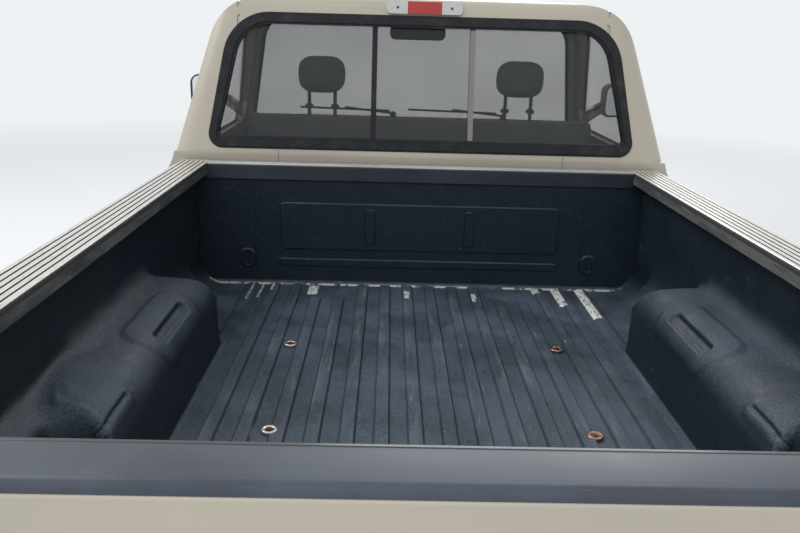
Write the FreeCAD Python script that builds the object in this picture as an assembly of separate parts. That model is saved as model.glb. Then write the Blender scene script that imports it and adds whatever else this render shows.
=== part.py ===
import FreeCAD, Part
import math
import os

# A full-size pickup truck with a regular cab and a long, lined load bed.
# Millimetres. +Y is forward, +X is the right-hand side, +Z is up.
# The origin lies on the ground, under the middle of the overall box.

# Overall stance
WHEELBASE = 3045.0
FRONT_OVERHANG = 930.0
REAR_OVERHANG = 1185.0
TRACK = 1665.0
TYRE_RADIUS = 381.5
TYRE_WIDTH = 255.0
RIM_RADIUS = 205.0
RIM_WIDTH = 190.0

# Heights above the ground
RAIL_TOP_Z = 1260.0
BED_DEPTH = 445.0
BELT_Z = 1255.0
ROOF_Z = 1862.0
ROCKER_Z = 455.0
CAB_FLOOR_Z = 640.0

# Load bed
BED_LENGTH = 1940.0
BED_OVERLAP = 1060.0
RAIL_INNER_X = 765.0
RAIL_OUTER_X = 870.0
RAIL_CAP_THICK = 8.0
RAIL_FLANGE = 14.0
BED_WALL_X = 808.0
WHEELHOUSE_X = 603.0
WHEELHOUSE_HEIGHT = 205.0
WHEELHOUSE_WALL_RISE = 30.0
WHEELHOUSE_FRONT = 545.0
WHEELHOUSE_REAR = 470.0
LINER_THICK = 6.0
PANEL = 12.0
BULKHEAD_THICK = 60.0
TAILGATE_THICK = 100.0
RIB_PITCH = 81.0
RIB_WIDTH = 41.0
RIB_HEIGHT = 7.0
RIB_SLOPE = 5.0
RIB_COUNT = 16
CAP_DEPTH = 56.0
CAP_OVERHANG = 9.0
LIP_HEIGHT = 40.0
RAIL_GROOVES = 5

# Cab
CAB_GAP = 30.0
DOOR_INNER_X = 870.0
REAR_LEAN = 120.0
GLASS_THICK = 5.0
GLASS_INSET = 12.0
SEAL_WIDTH = 42.0
SHUT_GAP = 8.0
RUNNING_GAP = 0.1

# Front end
SHEET = 20.0
HOOD_HALF = 735.0
ARCH_RADIUS = 445.0
ARCH_CENTRE_Z = 400.0

# Chassis
FRAME_OUTER_X = 430.0
FRAME_FLANGE = 70.0
FRAME_HEIGHT = 150.0
FRAME_WALL = 6.0
AXLE_TUBE_R = 40.0
SEAT_GAP = 0.3

# Places worked out from the sizes
HALF_LENGTH = (WHEELBASE + FRONT_OVERHANG + REAR_OVERHANG) / 2
FRONT_Y = HALF_LENGTH
REAR_Y = -HALF_LENGTH
FRONT_AXLE_Y = FRONT_Y - FRONT_OVERHANG
REAR_AXLE_Y = REAR_Y + REAR_OVERHANG
WHEEL_X = TRACK / 2
BED_IN_Y = REAR_AXLE_Y + BED_OVERLAP
BED_FRONT_Y = BED_IN_Y + BULKHEAD_THICK
GATE_IN_Y = BED_IN_Y - BED_LENGTH
BED_REAR_Y = GATE_IN_Y - TAILGATE_THICK
CAB_REAR_Y = BED_FRONT_Y + CAB_GAP
LINER_Z = RAIL_TOP_Z - BED_DEPTH
BED_METAL_Z = LINER_Z - LINER_THICK
RAIL_METAL_Z = RAIL_TOP_Z - RAIL_CAP_THICK
BED_SILL_Z = BED_METAL_Z - 34.0
DOOR_FRONT_Y = FRONT_AXLE_Y - 600.0
DOOR_REAR_Y = CAB_REAR_Y + 215.0
COWL_Y = FRONT_AXLE_Y - 435.0
HEADER_Y = COWL_Y - 625.0
KINGPIN_X = WHEEL_X - 97.5
LINER_WALL_X = BED_WALL_X - LINER_THICK
LINER_FRONT_Y = BED_IN_Y + CAP_OVERHANG
FAR = 3500.0


def vec(x, y, z):
    return FreeCAD.Vector(x, y, z)


AXES = {"x": vec(1, 0, 0), "y": vec(0, 1, 0), "z": vec(0, 0, 1)}


def placed(plane, at, u, v):
    """A point of a plane: corners are (y, z) on x planes, (x, z) on y planes, (x, y) on z planes."""
    if plane == "x":
        return vec(at, u, v)
    if plane == "y":
        return vec(u, at, v)
    return vec(u, v, at)


def wire(plane, at, corners):
    """A closed outline of straight runs joined by tangent arcs; corners are rows of u, v, radius."""
    rows = [c if len(c) == 3 else (c[0], c[1], 0.0) for c in corners]
    starts, ends, arcs = [], [], []
    for i, (u, v, r) in enumerate(rows):
        before, here, after = (vec(*rows[j % len(rows)][:2], 0) for j in (i - 1, i, i + 1))
        back, on = (before - here).normalize(), (after - here).normalize()
        if r <= 0:
            starts.append(here)
            ends.append(here)
            arcs.append(None)
            continue
        half = back.getAngle(on) / 2
        reach = r / math.tan(half)
        middle = here + (back + on).normalize() * (r / math.sin(half) - r)
        starts.append(here + back * reach)
        ends.append(here + on * reach)
        arcs.append(middle)
    edges = []
    for i, middle in enumerate(arcs):
        a, b = starts[i], ends[i]
        if middle is not None:
            pts = [placed(plane, at, p.x, p.y) for p in (a, middle, b)]
            edges.append(Part.Arc(*pts).toShape())
        c = starts[(i + 1) % len(arcs)]
        if b.distanceToPoint(c) > 1e-4:
            edges.append(
                Part.LineSegment(placed(plane, at, b.x, b.y), placed(plane, at, c.x, c.y)).toShape()
            )
    return Part.Wire(edges)


def prism(plane, low, high, corners):
    return Part.Face(wire(plane, low, corners)).extrude(AXES[plane] * (high - low))


def loft(plane, sections, ruled=False):
    return Part.makeLoft([wire(plane, at, corners) for at, corners in sections], True, ruled)


def box(x0, x1, y0, y1, z0, z1):
    return Part.makeBox(x1 - x0, y1 - y0, z1 - z0, vec(x0, y0, z0))


def rod(start, end, radius):
    a, b = vec(*start), vec(*end)
    return Part.makeCylinder(radius, (b - a).Length, a, b - a)


def fuse(shapes):
    shapes = list(shapes)
    return shapes[0].fuse(shapes[1:]).removeSplitter() if len(shapes) > 1 else shapes[0]


def cut(shape, *tools):
    return shape.cut(list(tools))


def right_of(shape):
    """The shape as it is modelled, on the truck's right-hand side."""
    return shape


def left_of(shape):
    return shape.mirror(vec(0, 0, 0), vec(1, 0, 0))


def both(shape):
    return [shape, left_of(shape)]


def mirrored(corners):
    """Completes a right-hand outline, listed from the bottom up, with its left-hand image."""
    rows = [c if len(c) == 3 else (c[0], c[1], 0.0) for c in corners]
    return rows + [(-u, v, r) for u, v, r in reversed(rows)]


# x, z, corner radius of the side of the body, from the rocker up to the belt
BODY_SIDE = (
    (918.0, ROCKER_Z, 0.0),
    (960.0, 560.0, 300.0),
    (990.0, 960.0, 800.0),
    (955.0, 1165.0, 250.0),
)


def pipe(points, radius, bend):
    """A round bar along straight runs joined by tangent arcs."""
    pts = [vec(*p) for p in points]
    edges, last = [], pts[0]
    for i in range(1, len(pts) - 1):
        back, on = (pts[i - 1] - pts[i]).normalize(), (pts[i + 1] - pts[i]).normalize()
        half = back.getAngle(on) / 2
        a, b = pts[i] + back * (bend / math.tan(half)), pts[i] + on * (bend / math.tan(half))
        m = pts[i] + (back + on).normalize() * (bend / math.sin(half) - bend)
        edges += [Part.LineSegment(last, a).toShape(), Part.Arc(a, m, b).toShape()]
        last = b
    edges.append(Part.LineSegment(last, pts[-1]).toShape())
    path = Part.Wire(edges)
    ring = Part.Wire(Part.makeCircle(radius, pts[0], pts[1] - pts[0]))
    return path.makePipeShell([ring], True, True)


def revolve_x(rows, x):
    """Turns an outline of (offset along X, radius, corner radius) rows round an axle at that X."""
    profile = Part.Face(wire("z", 0, rows))
    solid = profile.revolve(vec(0, 0, 0), vec(1, 0, 0), 360)
    solid.translate(vec(x, 0, 0))
    return solid


# Wheels, tyres and what carries them
WHEEL_BORE_R = 36.0
HUB_FACE = 20.0
SPOKES = 5
UPRIGHT_LOW = 128.0
UPRIGHT_HIGH = 138.0
KING_PIN_R = 11.0
KING_PIN_REACH = 34.0


def tyre():
    """Crown, shoulders, sidewalls and beads, turned about the axle; the outer side is +X."""
    half, bead = TYRE_WIDTH / 2, RIM_WIDTH / 2
    rows = [
        (-bead + 12, RIM_RADIUS, 0),
        (-bead, RIM_RADIUS, 6),
        (-half, RIM_RADIUS + 85, 60),
        (-half + 14, TYRE_RADIUS, 26),
        (half - 14, TYRE_RADIUS, 26),
        (half, RIM_RADIUS + 85, 60),
        (bead, RIM_RADIUS, 6),
        (bead - 12, RIM_RADIUS, 0),
        (half - 22, RIM_RADIUS + 85, 50),
        (half - 36, TYRE_RADIUS - 18, 20),
        (-half + 36, TYRE_RADIUS - 18, 20),
        (-half + 22, RIM_RADIUS + 85, 50),
    ]
    return revolve_x(rows, 0)


def rim():
    """Drop-centre barrel, dished face with five windows, hub and centre cap."""
    bead = RIM_WIDTH / 2
    barrel = revolve_x(
        [
            (-bead, RIM_RADIUS, 0),
            (-bead + 16, RIM_RADIUS, 0),
            (-bead + 34, RIM_RADIUS - 24, 10),
            (bead - 60, RIM_RADIUS - 24, 10),
            (bead - 18, RIM_RADIUS, 0),
            (bead, RIM_RADIUS, 0),
            (bead, RIM_RADIUS - 10, 0),
            (bead - 52, RIM_RADIUS - 33, 8),
            (-bead + 30, RIM_RADIUS - 33, 8),
            (-bead, RIM_RADIUS - 9, 0),
        ],
        0,
    )
    face_out = bead - 34
    disc = revolve_x(
        [
            (HUB_FACE, 0, 0),
            (face_out + 12, 0, 0),
            (face_out + 8, 62, 20),
            (face_out - 10, 120, 60),
            (face_out + 6, RIM_RADIUS - 26, 0),
            (face_out - 14, RIM_RADIUS - 30, 0),
            (face_out - 34, 120, 60),
            (HUB_FACE, 78, 10),
        ],
        0,
    )
    window = prism("x", -FAR, FAR, [(-30, 86, 16), (30, 86, 16), (52, 158, 18), (-52, 158, 18)])
    windows = []
    for k in range(SPOKES):
        w = window.copy()
        w.rotate(vec(0, 0, 0), vec(1, 0, 0), 360.0 * k / SPOKES)
        windows.append(w)
    bore = rod((HUB_FACE - 1, 0, 0), (face_out - 8, 0, 0), WHEEL_BORE_R)
    lug_pocket = rod((face_out - 2, 0, 57), (FAR, 0, 57), 9)
    pockets = []
    for k in range(SPOKES):
        p = lug_pocket.copy()
        p.rotate(vec(0, 0, 0), vec(1, 0, 0), 360.0 * (k + 0.5) / SPOKES)
        pockets.append(p)
    return fuse([barrel, cut(disc, *windows, bore, *pockets)])


def at_wheel(shape, side, y):
    """Moves a piece that is modelled about the axle to a corner of the truck; side is 1 or -1."""
    s = shape if side > 0 else left_of(shape)
    s = s.copy()
    s.translate(vec(side * WHEEL_X, y, TYRE_RADIUS))
    return s


def hub_spindle(from_x):
    """Brake disc or drum hub and the stub that the wheel turns on, modelled about the axle."""
    stub = rod((from_x, 0, 0), (RIM_WIDTH / 2 - 46, 0, 0), WHEEL_BORE_R - SEAT_GAP)
    return stub


def knuckle():
    """Right-hand steering upright, brake disc and stub, about the wheel centre."""
    kp = KINGPIN_X - WHEEL_X
    upright = prism(
        "x",
        kp - 14,
        kp + 22,
        [(-34, -UPRIGHT_LOW, 12), (34, -UPRIGHT_LOW, 12), (48, 0, 30), (28, UPRIGHT_HIGH, 12),
         (-28, UPRIGHT_HIGH, 12), (-48, 0, 30)],
    )
    arm = prism(
        "z", -78, -60, [(kp - 8, -20, 4), (kp + 14, -20, 4), (kp + 4, -168, 8), (kp - 22, -168, 8)],
    )
    disc = rod((kp + 40, 0, 0), (kp + 62, 0, 0), 148)
    hub = rod((kp + 20, 0, 0), (HUB_FACE - SEAT_GAP, 0, 0), 62)
    return fuse([upright, arm, disc, hub, king_pin(0.0), hub_spindle(HUB_FACE - 2)])


def king_pin(grow):
    """Upright pin that turns in the ends of both wishbones, about the wheel centre."""
    kp = KINGPIN_X - WHEEL_X
    return rod(
        (kp, 0, -UPRIGHT_LOW - KING_PIN_REACH),
        (kp, 0, UPRIGHT_HIGH + KING_PIN_REACH),
        KING_PIN_R + grow,
    )


def rear_axle():
    """Live axle: tube, differential with its nose, backing plates, drums and stubs."""
    drum_in = WHEEL_X - 90.0
    tube = rod((-drum_in, 0, 0), (drum_in, 0, 0), AXLE_TUBE_R)
    ball = revolve_x(
        [(-150, 0, 0), (-150, 50, 0), (-92, 138, 60), (92, 138, 60), (150, 50, 0), (150, 0, 0)], 0,
    )
    nose = Part.makeCone(95, 48, 230, vec(0, 60, 0), vec(0, 1, 0))
    parts = [tube, ball, nose]
    for side in (1, -1):
        hub = [
            rod((drum_in - 10, 0, 0), (drum_in, 0, 0), 158),
            rod((drum_in, 0, 0), (WHEEL_X - 22, 0, 0), 150),
            rod((WHEEL_X - 24, 0, 0), (WHEEL_X + HUB_FACE - SEAT_GAP, 0, 0), 60),
        ]
        stub = hub_spindle(HUB_FACE - 2)
        stub.translate(vec(WHEEL_X, 0, 0))
        parts += [s if side > 0 else left_of(s) for s in hub + [stub]]
        perch = box(440, 505, -60, 60, AXLE_TUBE_R - 12, SPRING_CLEAR)
        parts.append(perch if side > 0 else left_of(perch))
    axle = fuse(parts)
    axle.translate(vec(0, REAR_AXLE_Y, TYRE_RADIUS))
    return axle


SPRING_CLEAR = 46.0
SPRING_X = (440.0, 505.0)
SPRING_FRONT = 640.0
SPRING_REAR = 700.0
LEAF_PACK = 40.0
LEAF_BOW = 3600.0
EYE_Z = 540.0
EYE_R = 24.0


def leaf_spring():
    """Right-hand leaf pack: a bowed main pack with a shorter pack under it, and both eyes."""
    low = TYRE_RADIUS + SPRING_CLEAR

    def bow(front, rear, z_mid, z_end, thick):
        a, b, radius = REAR_AXLE_Y + front, REAR_AXLE_Y - rear, LEAF_BOW
        rows = [(a, z_end, 0), (REAR_AXLE_Y, z_mid, radius), (b, z_end, 0)]
        rows += [(b, z_end + thick, 0), (REAR_AXLE_Y, z_mid + thick, radius), (a, z_end + thick, 0)]
        return prism("x", SPRING_X[0], SPRING_X[1], rows)

    main = bow(SPRING_FRONT, SPRING_REAR, low + LEAF_PACK - 44, EYE_Z - 8, 16)
    helper = prism(
        "x",
        SPRING_X[0],
        SPRING_X[1],
        [(REAR_AXLE_Y + 60, low, 0), (REAR_AXLE_Y + 380, low + 24, 0), (REAR_AXLE_Y + 380, low + 34, 0),
         (REAR_AXLE_Y, low + LEAF_PACK - 10, 0), (REAR_AXLE_Y - 400, low + 34, 0),
         (REAR_AXLE_Y - 400, low + 24, 0),
         (REAR_AXLE_Y - 60, low, 0)],
    )
    eyes = [
        rod((SPRING_X[0], REAR_AXLE_Y + s, EYE_Z), (SPRING_X[1], REAR_AXLE_Y + s, EYE_Z), EYE_R)
        for s in (SPRING_FRONT, -SPRING_REAR)
    ]
    return fuse([main, helper] + eyes)


# y, z of the middle of each frame rail, from the front to the back
FRAME_LINE = (
    (FRONT_Y - 130.0, 560.0),
    (1330.0, 560.0),
    (1090.0, 500.0),
    (REAR_AXLE_Y + 720.0, 500.0),
    (REAR_AXLE_Y + 400.0, 660.0),
    (BED_REAR_Y + 30.0, 660.0),
)


def frame_strip(half_height):
    """Side outline of a frame rail, kicked up over the rear axle."""
    bend = 140.0
    top = [
        (y, z + half_height, bend if 0 < i < len(FRAME_LINE) - 1 else 0)
        for i, (y, z) in enumerate(FRAME_LINE)
    ]
    under = [
        (y, z - half_height, bend if 0 < i < len(FRAME_LINE) - 1 else 0)
        for i, (y, z) in enumerate(FRAME_LINE)
    ]
    return top + under[::-1]


def frame_z(y):
    """Height of the middle of the frame rail at y."""
    for (ya, za), (yb, zb) in zip(FRAME_LINE, FRAME_LINE[1:]):
        if yb <= y <= ya:
            return za + (zb - za) * (ya - y) / (ya - yb)
    return FRAME_LINE[-1][1]


def frame_rail():
    """Right-hand rail, a channel open towards the middle, with body mounts and spring brackets."""
    inner = FRAME_OUTER_X - FRAME_FLANGE
    solid = prism("x", inner, FRAME_OUTER_X, frame_strip(FRAME_HEIGHT / 2))
    pocket = prism(
        "x", inner - 1, FRAME_OUTER_X - FRAME_WALL, frame_strip(FRAME_HEIGHT / 2 - FRAME_WALL),
    )
    rail = cut(solid, pocket)
    middle = (inner + FRAME_OUTER_X) / 2
    mounts = []
    for y in CAB_MOUNTS_Y:
        mounts.append(rod((middle, y, frame_z(y) + FRAME_HEIGHT / 2 - 1), (middle, y, CAB_PAN_Z), 32))
    for y in BED_MOUNTS_Y:
        mounts.append(rod((middle, y, frame_z(y) + FRAME_HEIGHT / 2 - 1), (middle, y, BED_SILL_Z), 30))
    brackets = []
    for s in (SPRING_FRONT, -SPRING_REAR):
        y = REAR_AXLE_Y + s
        low = EYE_Z - 40
        brackets.append(
            prism(
                "x",
                FRAME_OUTER_X - 1,
                SPRING_X[0],
                [
                    (y - 45, low, 12),
                    (y + 45, low, 12),
                    (y + 60, frame_z(y) + 40, 5),
                    (y - 60, frame_z(y) + 40, 5),
                ],
            )
        )
    return fuse([rail] + mounts + brackets)


CAB_PAN_Z = CAB_FLOOR_Z - 30.0
CAB_MOUNTS_Y = (-140.0, 880.0)
BED_MOUNTS_Y = (REAR_AXLE_Y + 900.0, REAR_AXLE_Y + 250.0, REAR_AXLE_Y - 300.0, REAR_AXLE_Y - 820.0)

# y, half width along Y, low z, high z of each crossmember
CROSSMEMBERS = (
    (FRONT_Y - 200.0, 30.0, 500.0, 620.0),
    (FRONT_AXLE_Y, 70.0, 400.0, 520.0),
    (700.0, 45.0, 440.0, 560.0),
    (-230.0, 35.0, 505.0, 560.0),
    (REAR_AXLE_Y + 250.0, 35.0, 620.0, 715.0),
    (REAR_AXLE_Y - 640.0, 35.0, 610.0, 715.0),
    (BED_REAR_Y + 70.0, 40.0, 600.0, 720.0),
)


def crossmembers(rails):
    """Beams that join the two rails inside their channels."""
    web = FRAME_OUTER_X - FRAME_WALL
    beams = [box(-web, web, y - h, y + h, z0, z1) for y, h, z0, z1 in CROSSMEMBERS]
    return [cut(b, *rails) for b in beams]


def front_arms():
    """Right-hand wishbones above and below the upright, with the coil spring between them."""
    y = FRONT_AXLE_Y
    lower_z = TYRE_RADIUS - UPRIGHT_LOW - SEAT_GAP
    upper_z = TYRE_RADIUS + UPRIGHT_HIGH + SEAT_GAP
    end = KINGPIN_X + 24
    lower = prism(
        "z",
        lower_z - 28,
        lower_z,
        [(300, y + 165, 12), (300, y - 165, 12), (360, y - 165, 30), (620, y - 46, 60),
         (end, y - 28, 24), (end, y + 28, 24), (620, y + 46, 60), (360, y + 165, 30)],
    )
    upper = prism(
        "z",
        upper_z,
        upper_z + 24,
        [(FRAME_OUTER_X, y + 110, 0), (FRAME_OUTER_X, y - 110, 0), (480, y - 110, 20), (640, y - 34, 40),
         (end, y - 24, 20), (end, y + 24, 20), (640, y + 34, 40), (480, y + 110, 20)],
    )
    pivot = rod((320, y - 175, lower_z - 14), (320, y + 175, lower_z - 14), 20)
    hanger = box(300, 340, y - 60, y + 60, lower_z - 10, 400.0)
    spring = rod((510, y, lower_z - 1), (510, y, upper_z + 1), 52)
    pin = at_wheel(king_pin(RUNNING_GAP), 1, y)
    return cut(fuse([lower, upper, pivot, hanger, spring]), pin)


def engine():
    """One plain block for the engine and its gearbox."""
    block = box(-240, 240, 1140, FRONT_AXLE_Y + 320, 520.0, 1030)
    gearbox = loft(
        "y",
        [
            (1140, [(-180, 430), (180, 430), (180, 600), (-180, 600)]),
            (300, [(-80, 440), (80, 440), (80, 580), (-80, 580)]),
        ],
        True,
    )
    sump = box(-150, 150, FRONT_AXLE_Y - 480, FRONT_AXLE_Y - 90, 430, 521)
    return cut(fuse([block, gearbox, sump]), box(-500, 500, 650, 750, 430, 560))


def drive_shaft(engine_shape, axle_shape):
    start, end = (0, 330, 505), (0, REAR_AXLE_Y + 270, TYRE_RADIUS)
    shaft = rod(start, end, 36)
    return cut(shaft, engine_shape, axle_shape)


def exhaust():
    line = [
        (262, 1480, 560),
        (262, 1180, 385),
        (262, -980, 385),
        (345, -1230, 505),
        (345, -1540, 505),
        (372, -1780, 425),
        (905, -2060, 415),
    ]
    muffler = prism("y", -860, -330, [(182, 330, 50), (342, 330, 50), (342, 432, 50), (182, 432, 50)])
    hanger = box(300, FRAME_OUTER_X - FRAME_FLANGE, -600, -570, 400, 440)
    return fuse([pipe(line, 27, 90), muffler, hanger])


def fuel_tank():
    tank = prism(
        "x",
        -FRAME_OUTER_X + FRAME_FLANGE,
        -90,
        [(-280, 400, 40), (-980, 400, 40), (-980, 560, 40), (-280, 560, 40)],
    )
    return tank


def spare_wheel():
    """Spare tyre and rim slung flat under the tail of the bed, on its winch post."""
    y = REAR_AXLE_Y - 650.0
    t = fuse([tyre(), rim()])
    t.rotate(vec(0, 0, 0), vec(0, 1, 0), 90)
    t.translate(vec(0, y, 455.0))
    post = rod((0, y, 400), (0, y, 610), 14)
    return fuse([t, post])


# Outlines of the body seen from the front, right-hand half, from the bottom up
GREENHOUSE = (
    (912.0, BELT_Z, 60.0),
    (745.0, ROOF_Z - 42.0, 210.0),
    (330.0, ROOF_Z, 900.0),
)
CAB_INNER = (
    (DOOR_INNER_X, ROCKER_Z - 1.0, 0.0),
    (DOOR_INNER_X, BELT_Z, 60.0),
    (702.0, ROOF_Z - 78.0, 165.0),
    (330.0, ROOF_Z - 36.0, 900.0),
)
DOOR_TOP_Z = ROOF_Z - 77.0
ROOF_SPLIT_Z = DOOR_TOP_Z + 10.0
DOOR_BOTTOM_Z = 520.0
BACK_BELT_Z = BELT_Z + 30.0
BACK_TOP_Z = ROOF_Z - 24.0
HEADER_Z = ROOF_Z - 20.0
COWL_Z = BELT_Z + 13.0
BACK_THICK = 60.0
CAB_CORNER = 75.0
DITCH_X = 672.0
DITCH_HALF = 5.0
DITCH_DEPTH = 6.0
DITCH_LOW_Z = ROOF_Z - 140.0
SHUT_SLOPE = 0.25
HINGE_X = 976.0
HINGE_INSET = 14.0
DOOR_PIN_R = 3.0
DOOR_PIN_REACH = 13.0
DOOR_LEAF = 3.0
DOOR_LEAF_GAP = 0.2
DOOR_HINGES_Z = (866.0, 968.0)


def cab_outline():
    """Side view of the closed cab."""
    return [
        (CAB_REAR_Y, ROCKER_Z, 0),
        (CAB_REAR_Y, BACK_BELT_Z, 80),
        (CAB_REAR_Y + REAR_LEAN, BACK_TOP_Z, 50),
        (220.0, ROOF_Z + 2, 2500),
        (HEADER_Y, HEADER_Z, 110),
        (COWL_Y, COWL_Z, 0),
        (COWL_Y, ROCKER_Z, 0),
    ]


def cab_corners():
    """Plan of the cab with its rounded rear corners, leaning in above the belt."""
    def plan(half, y):
        return [(-half, FRONT_Y, 0), (-half, y, CAB_CORNER), (half, y, CAB_CORNER), (half, FRONT_Y, 0)]

    widest, belt, top = BODY_SIDE[2][0], GREENHOUSE[0][0], GREENHOUSE[1][0]
    low = prism("z", 0, BACK_BELT_Z, plan(widest, CAB_REAR_Y))
    rise = (BACK_TOP_Z - BACK_BELT_Z) / (GREENHOUSE[1][1] - GREENHOUSE[0][1])
    shift = (belt - top) * rise
    high = loft(
        "z",
        [
            (BACK_BELT_Z, plan(belt, CAB_REAR_Y)),
            (BACK_TOP_Z, plan(belt - shift, CAB_REAR_Y + REAR_LEAN)),
        ],
        True,
    )
    cap = prism("z", BACK_TOP_Z, FAR, plan(belt - shift, CAB_REAR_Y + REAR_LEAN))
    return fuse([low, high, cap])


def cab_solid():
    side = prism("x", -FAR, FAR, cab_outline())
    front = prism("y", -FAR, FAR, mirrored(BODY_SIDE + GREENHOUSE))
    return side.common(front).common(cab_corners())


def roof_ditches(outer):
    """Shallow lengthwise seams along the roof and down its rear corners."""
    lowered = outer.copy()
    lowered.translate(vec(0, DITCH_DEPTH / 2, -DITCH_DEPTH))
    strips = []
    for s in (1, -1):
        strips.append(
            box(s * DITCH_X - DITCH_HALF, s * DITCH_X + DITCH_HALF, -FAR, HEADER_Y, DITCH_LOW_Z, FAR)
        )
    return [cut(strip, lowered) for strip in strips]


def cab_core():
    return prism("y", -FAR, FAR, mirrored(CAB_INNER))


def back_slab(near, far):
    """Leaning slab between two distances, along Y, in from the back of the cab."""
    y, lean = CAB_REAR_Y, REAR_LEAN
    rise = (FAR - BACK_BELT_Z) * lean / (BACK_TOP_Z - BACK_BELT_Z)
    return prism(
        "x",
        -FAR,
        FAR,
        [
            (y + near, -FAR),
            (y + near, BACK_BELT_Z),
            (y + near + rise, FAR),
            (y + far + rise, FAR),
            (y + far, BACK_BELT_Z),
            (y + far, -FAR),
        ],
    )


def screen_slab(near, far):
    """Leaning slab between two depths in from the windshield's outer face."""
    dy, dz = HEADER_Y - COWL_Y, HEADER_Z - COWL_Z
    length = math.hypot(dy, dz)
    ny, nz = -dz / length, dy / length
    rows = []
    for depth, ends in ((near, (-1.0, 2.0)), (far, (2.0, -1.0))):
        for t in ends:
            rows.append((COWL_Y + dy * t + ny * depth, COWL_Z + dz * t + nz * depth))
    return prism("x", -FAR, FAR, rows)


def side_slab(near, far):
    """Leaning slab between two depths in from the right-hand side window's outer face."""
    (x0, z0, _), (x1, z1, _) = GREENHOUSE[0], GREENHOUSE[1]
    k = (x1 - x0) / (z1 - z0)
    low, high = z0 - 60.0, z1 + 60.0
    return prism(
        "y",
        -FAR,
        FAR,
        [
            (x0 + k * (low - z0) - near, low),
            (x0 + k * (high - z0) - near, high),
            (x0 + k * (high - z0) - far, high),
            (x0 + k * (low - z0) - far, low),
        ],
    )


def screen_y(z, depth):
    """Y of the line that lies a depth in from the windshield, at height z."""
    dy, dz = HEADER_Y - COWL_Y, HEADER_Z - COWL_Z
    length = math.hypot(dy, dz)
    ny, nz = -dz / length, dy / length
    return COWL_Y + ny * depth + (z - COWL_Z - nz * depth) * dy / dz


def screen_z(y, depth):
    """Height of the line that lies a depth in from the windshield, at a Y."""
    dy, dz = HEADER_Y - COWL_Y, HEADER_Z - COWL_Z
    return COWL_Z + (y - screen_y(COWL_Z, depth)) * dz / dy


A_PILLAR = 85.0
SILL_X = DOOR_INNER_X - 38.0


def door_outline(grow):
    """Side view of the door; grow widens it for the opening that it shuts into."""
    depth = A_PILLAR - grow
    front, top = DOOR_FRONT_Y + grow, DOOR_TOP_Z + grow
    return [
        (DOOR_REAR_Y - 200, DOOR_BOTTOM_Z - grow, 0),
        (front, DOOR_BOTTOM_Z - grow, 0 if grow else 20),
        (front, screen_z(front, depth), 30),
        (screen_y(top, depth), top, 60),
        (DOOR_REAR_Y - 200, top, 0),
    ]


def behind_shut_line(gap):
    """Everything behind the door's slanted rear edge; a gap moves it back."""
    x0, x1 = 0.0, 2 * HINGE_X
    y = DOOR_REAR_Y - gap
    widest = BODY_SIDE[2][0]
    return prism(
        "z",
        -FAR,
        FAR,
        [(x0, -FAR), (x1, -FAR), (x1, y + SHUT_SLOPE * (widest - x1)), (x0, y + SHUT_SLOPE * widest)],
    )


def door_space(grow):
    """The door's whole volume, or with a gap the opening it shuts into."""
    space = prism("x", 0, FAR, door_outline(grow))
    return cut(space, behind_shut_line(grow))


WINDOW_SILL_Z = BELT_Z + 13.0
WINDOW_TOP_Z = DOOR_TOP_Z - 37.0
WINDOW_REAR_Y = DOOR_REAR_Y + 115.0
WINDOW_FRONT_Y = DOOR_FRONT_Y - 150.0


def window_outline():
    """Side view of the door glass."""
    depth = A_PILLAR + 50.0
    return [
        (WINDOW_REAR_Y, WINDOW_SILL_Z, 25),
        (WINDOW_FRONT_Y, WINDOW_SILL_Z, 25),
        (WINDOW_FRONT_Y, screen_z(WINDOW_FRONT_Y, depth), 30),
        (screen_y(WINDOW_TOP_Z, depth), WINDOW_TOP_Z, 35),
        (WINDOW_REAR_Y + 22, WINDOW_TOP_Z, 35),
    ]


HANDLE_AHEAD = 140.0
HANDLE_Z = 1085.0


def right_door(outer, core):
    """Whole door with its window cut, rounded about the hinge at its leading edge."""
    solid = cut(outer.common(door_space(0)), core)
    window = prism("x", 0, FAR, window_outline())
    door = cut(solid, window, *[door_hinge_room(z) for z in DOOR_HINGES_Z])
    y = DOOR_REAR_Y + HANDLE_AHEAD
    handle = prism(
        "z",
        HANDLE_Z,
        HANDLE_Z + 30,
        [(960, y, 0), (1004, y + 15, 10), (1004, y + 125, 10), (960, y + 140, 0)],
    )
    return fuse([door, handle])


def door_hinge(z):
    """Thin leaf from the pillar with its pin, at the door's leading edge."""
    y = DOOR_FRONT_Y - HINGE_INSET
    leaf = prism(
        "z",
        z,
        z + DOOR_LEAF,
        [(HINGE_X - 4, y - 4, 3), (HINGE_X + 4, y - 4, 3), (HINGE_X + 4, y + 6, 0), (HINGE_X - 9, y + 21, 0),
         (HINGE_X - 9, y + 40, 0), (HINGE_X - 30, y + 40, 0), (HINGE_X - 24, y + 18, 0)],
    )
    return fuse(
        [
            leaf,
            rod(
                (HINGE_X, y, z - DOOR_PIN_REACH),
                (HINGE_X, y, z + DOOR_LEAF + DOOR_PIN_REACH),
                DOOR_PIN_R,
            ),
        ]
    )


def door_hinge_room(z):
    """Slot and hole in the door for one hinge."""
    y = DOOR_FRONT_Y - HINGE_INSET
    slot = prism(
        "z",
        z - DOOR_LEAF_GAP,
        z + DOOR_LEAF + DOOR_LEAF_GAP,
        [(HINGE_X - 30, y - 6), (HINGE_X + 20, y - 6), (HINGE_X + 20, y + 40), (HINGE_X - 30, y + 40)],
    )
    reach = DOOR_PIN_REACH + DOOR_LEAF_GAP
    hole = rod((HINGE_X, y, z - reach), (HINGE_X, y, z + DOOR_LEAF + reach), DOOR_PIN_R + RUNNING_GAP)
    return fuse([slot, hole])


def door_glass():
    return side_slab(
        GLASS_INSET, GLASS_INSET + GLASS_THICK,
    ).common(prism("x", 0, FAR, window_outline()))


MIRROR_BACK = 258.0
MIRROR_X = 1092.0


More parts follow.
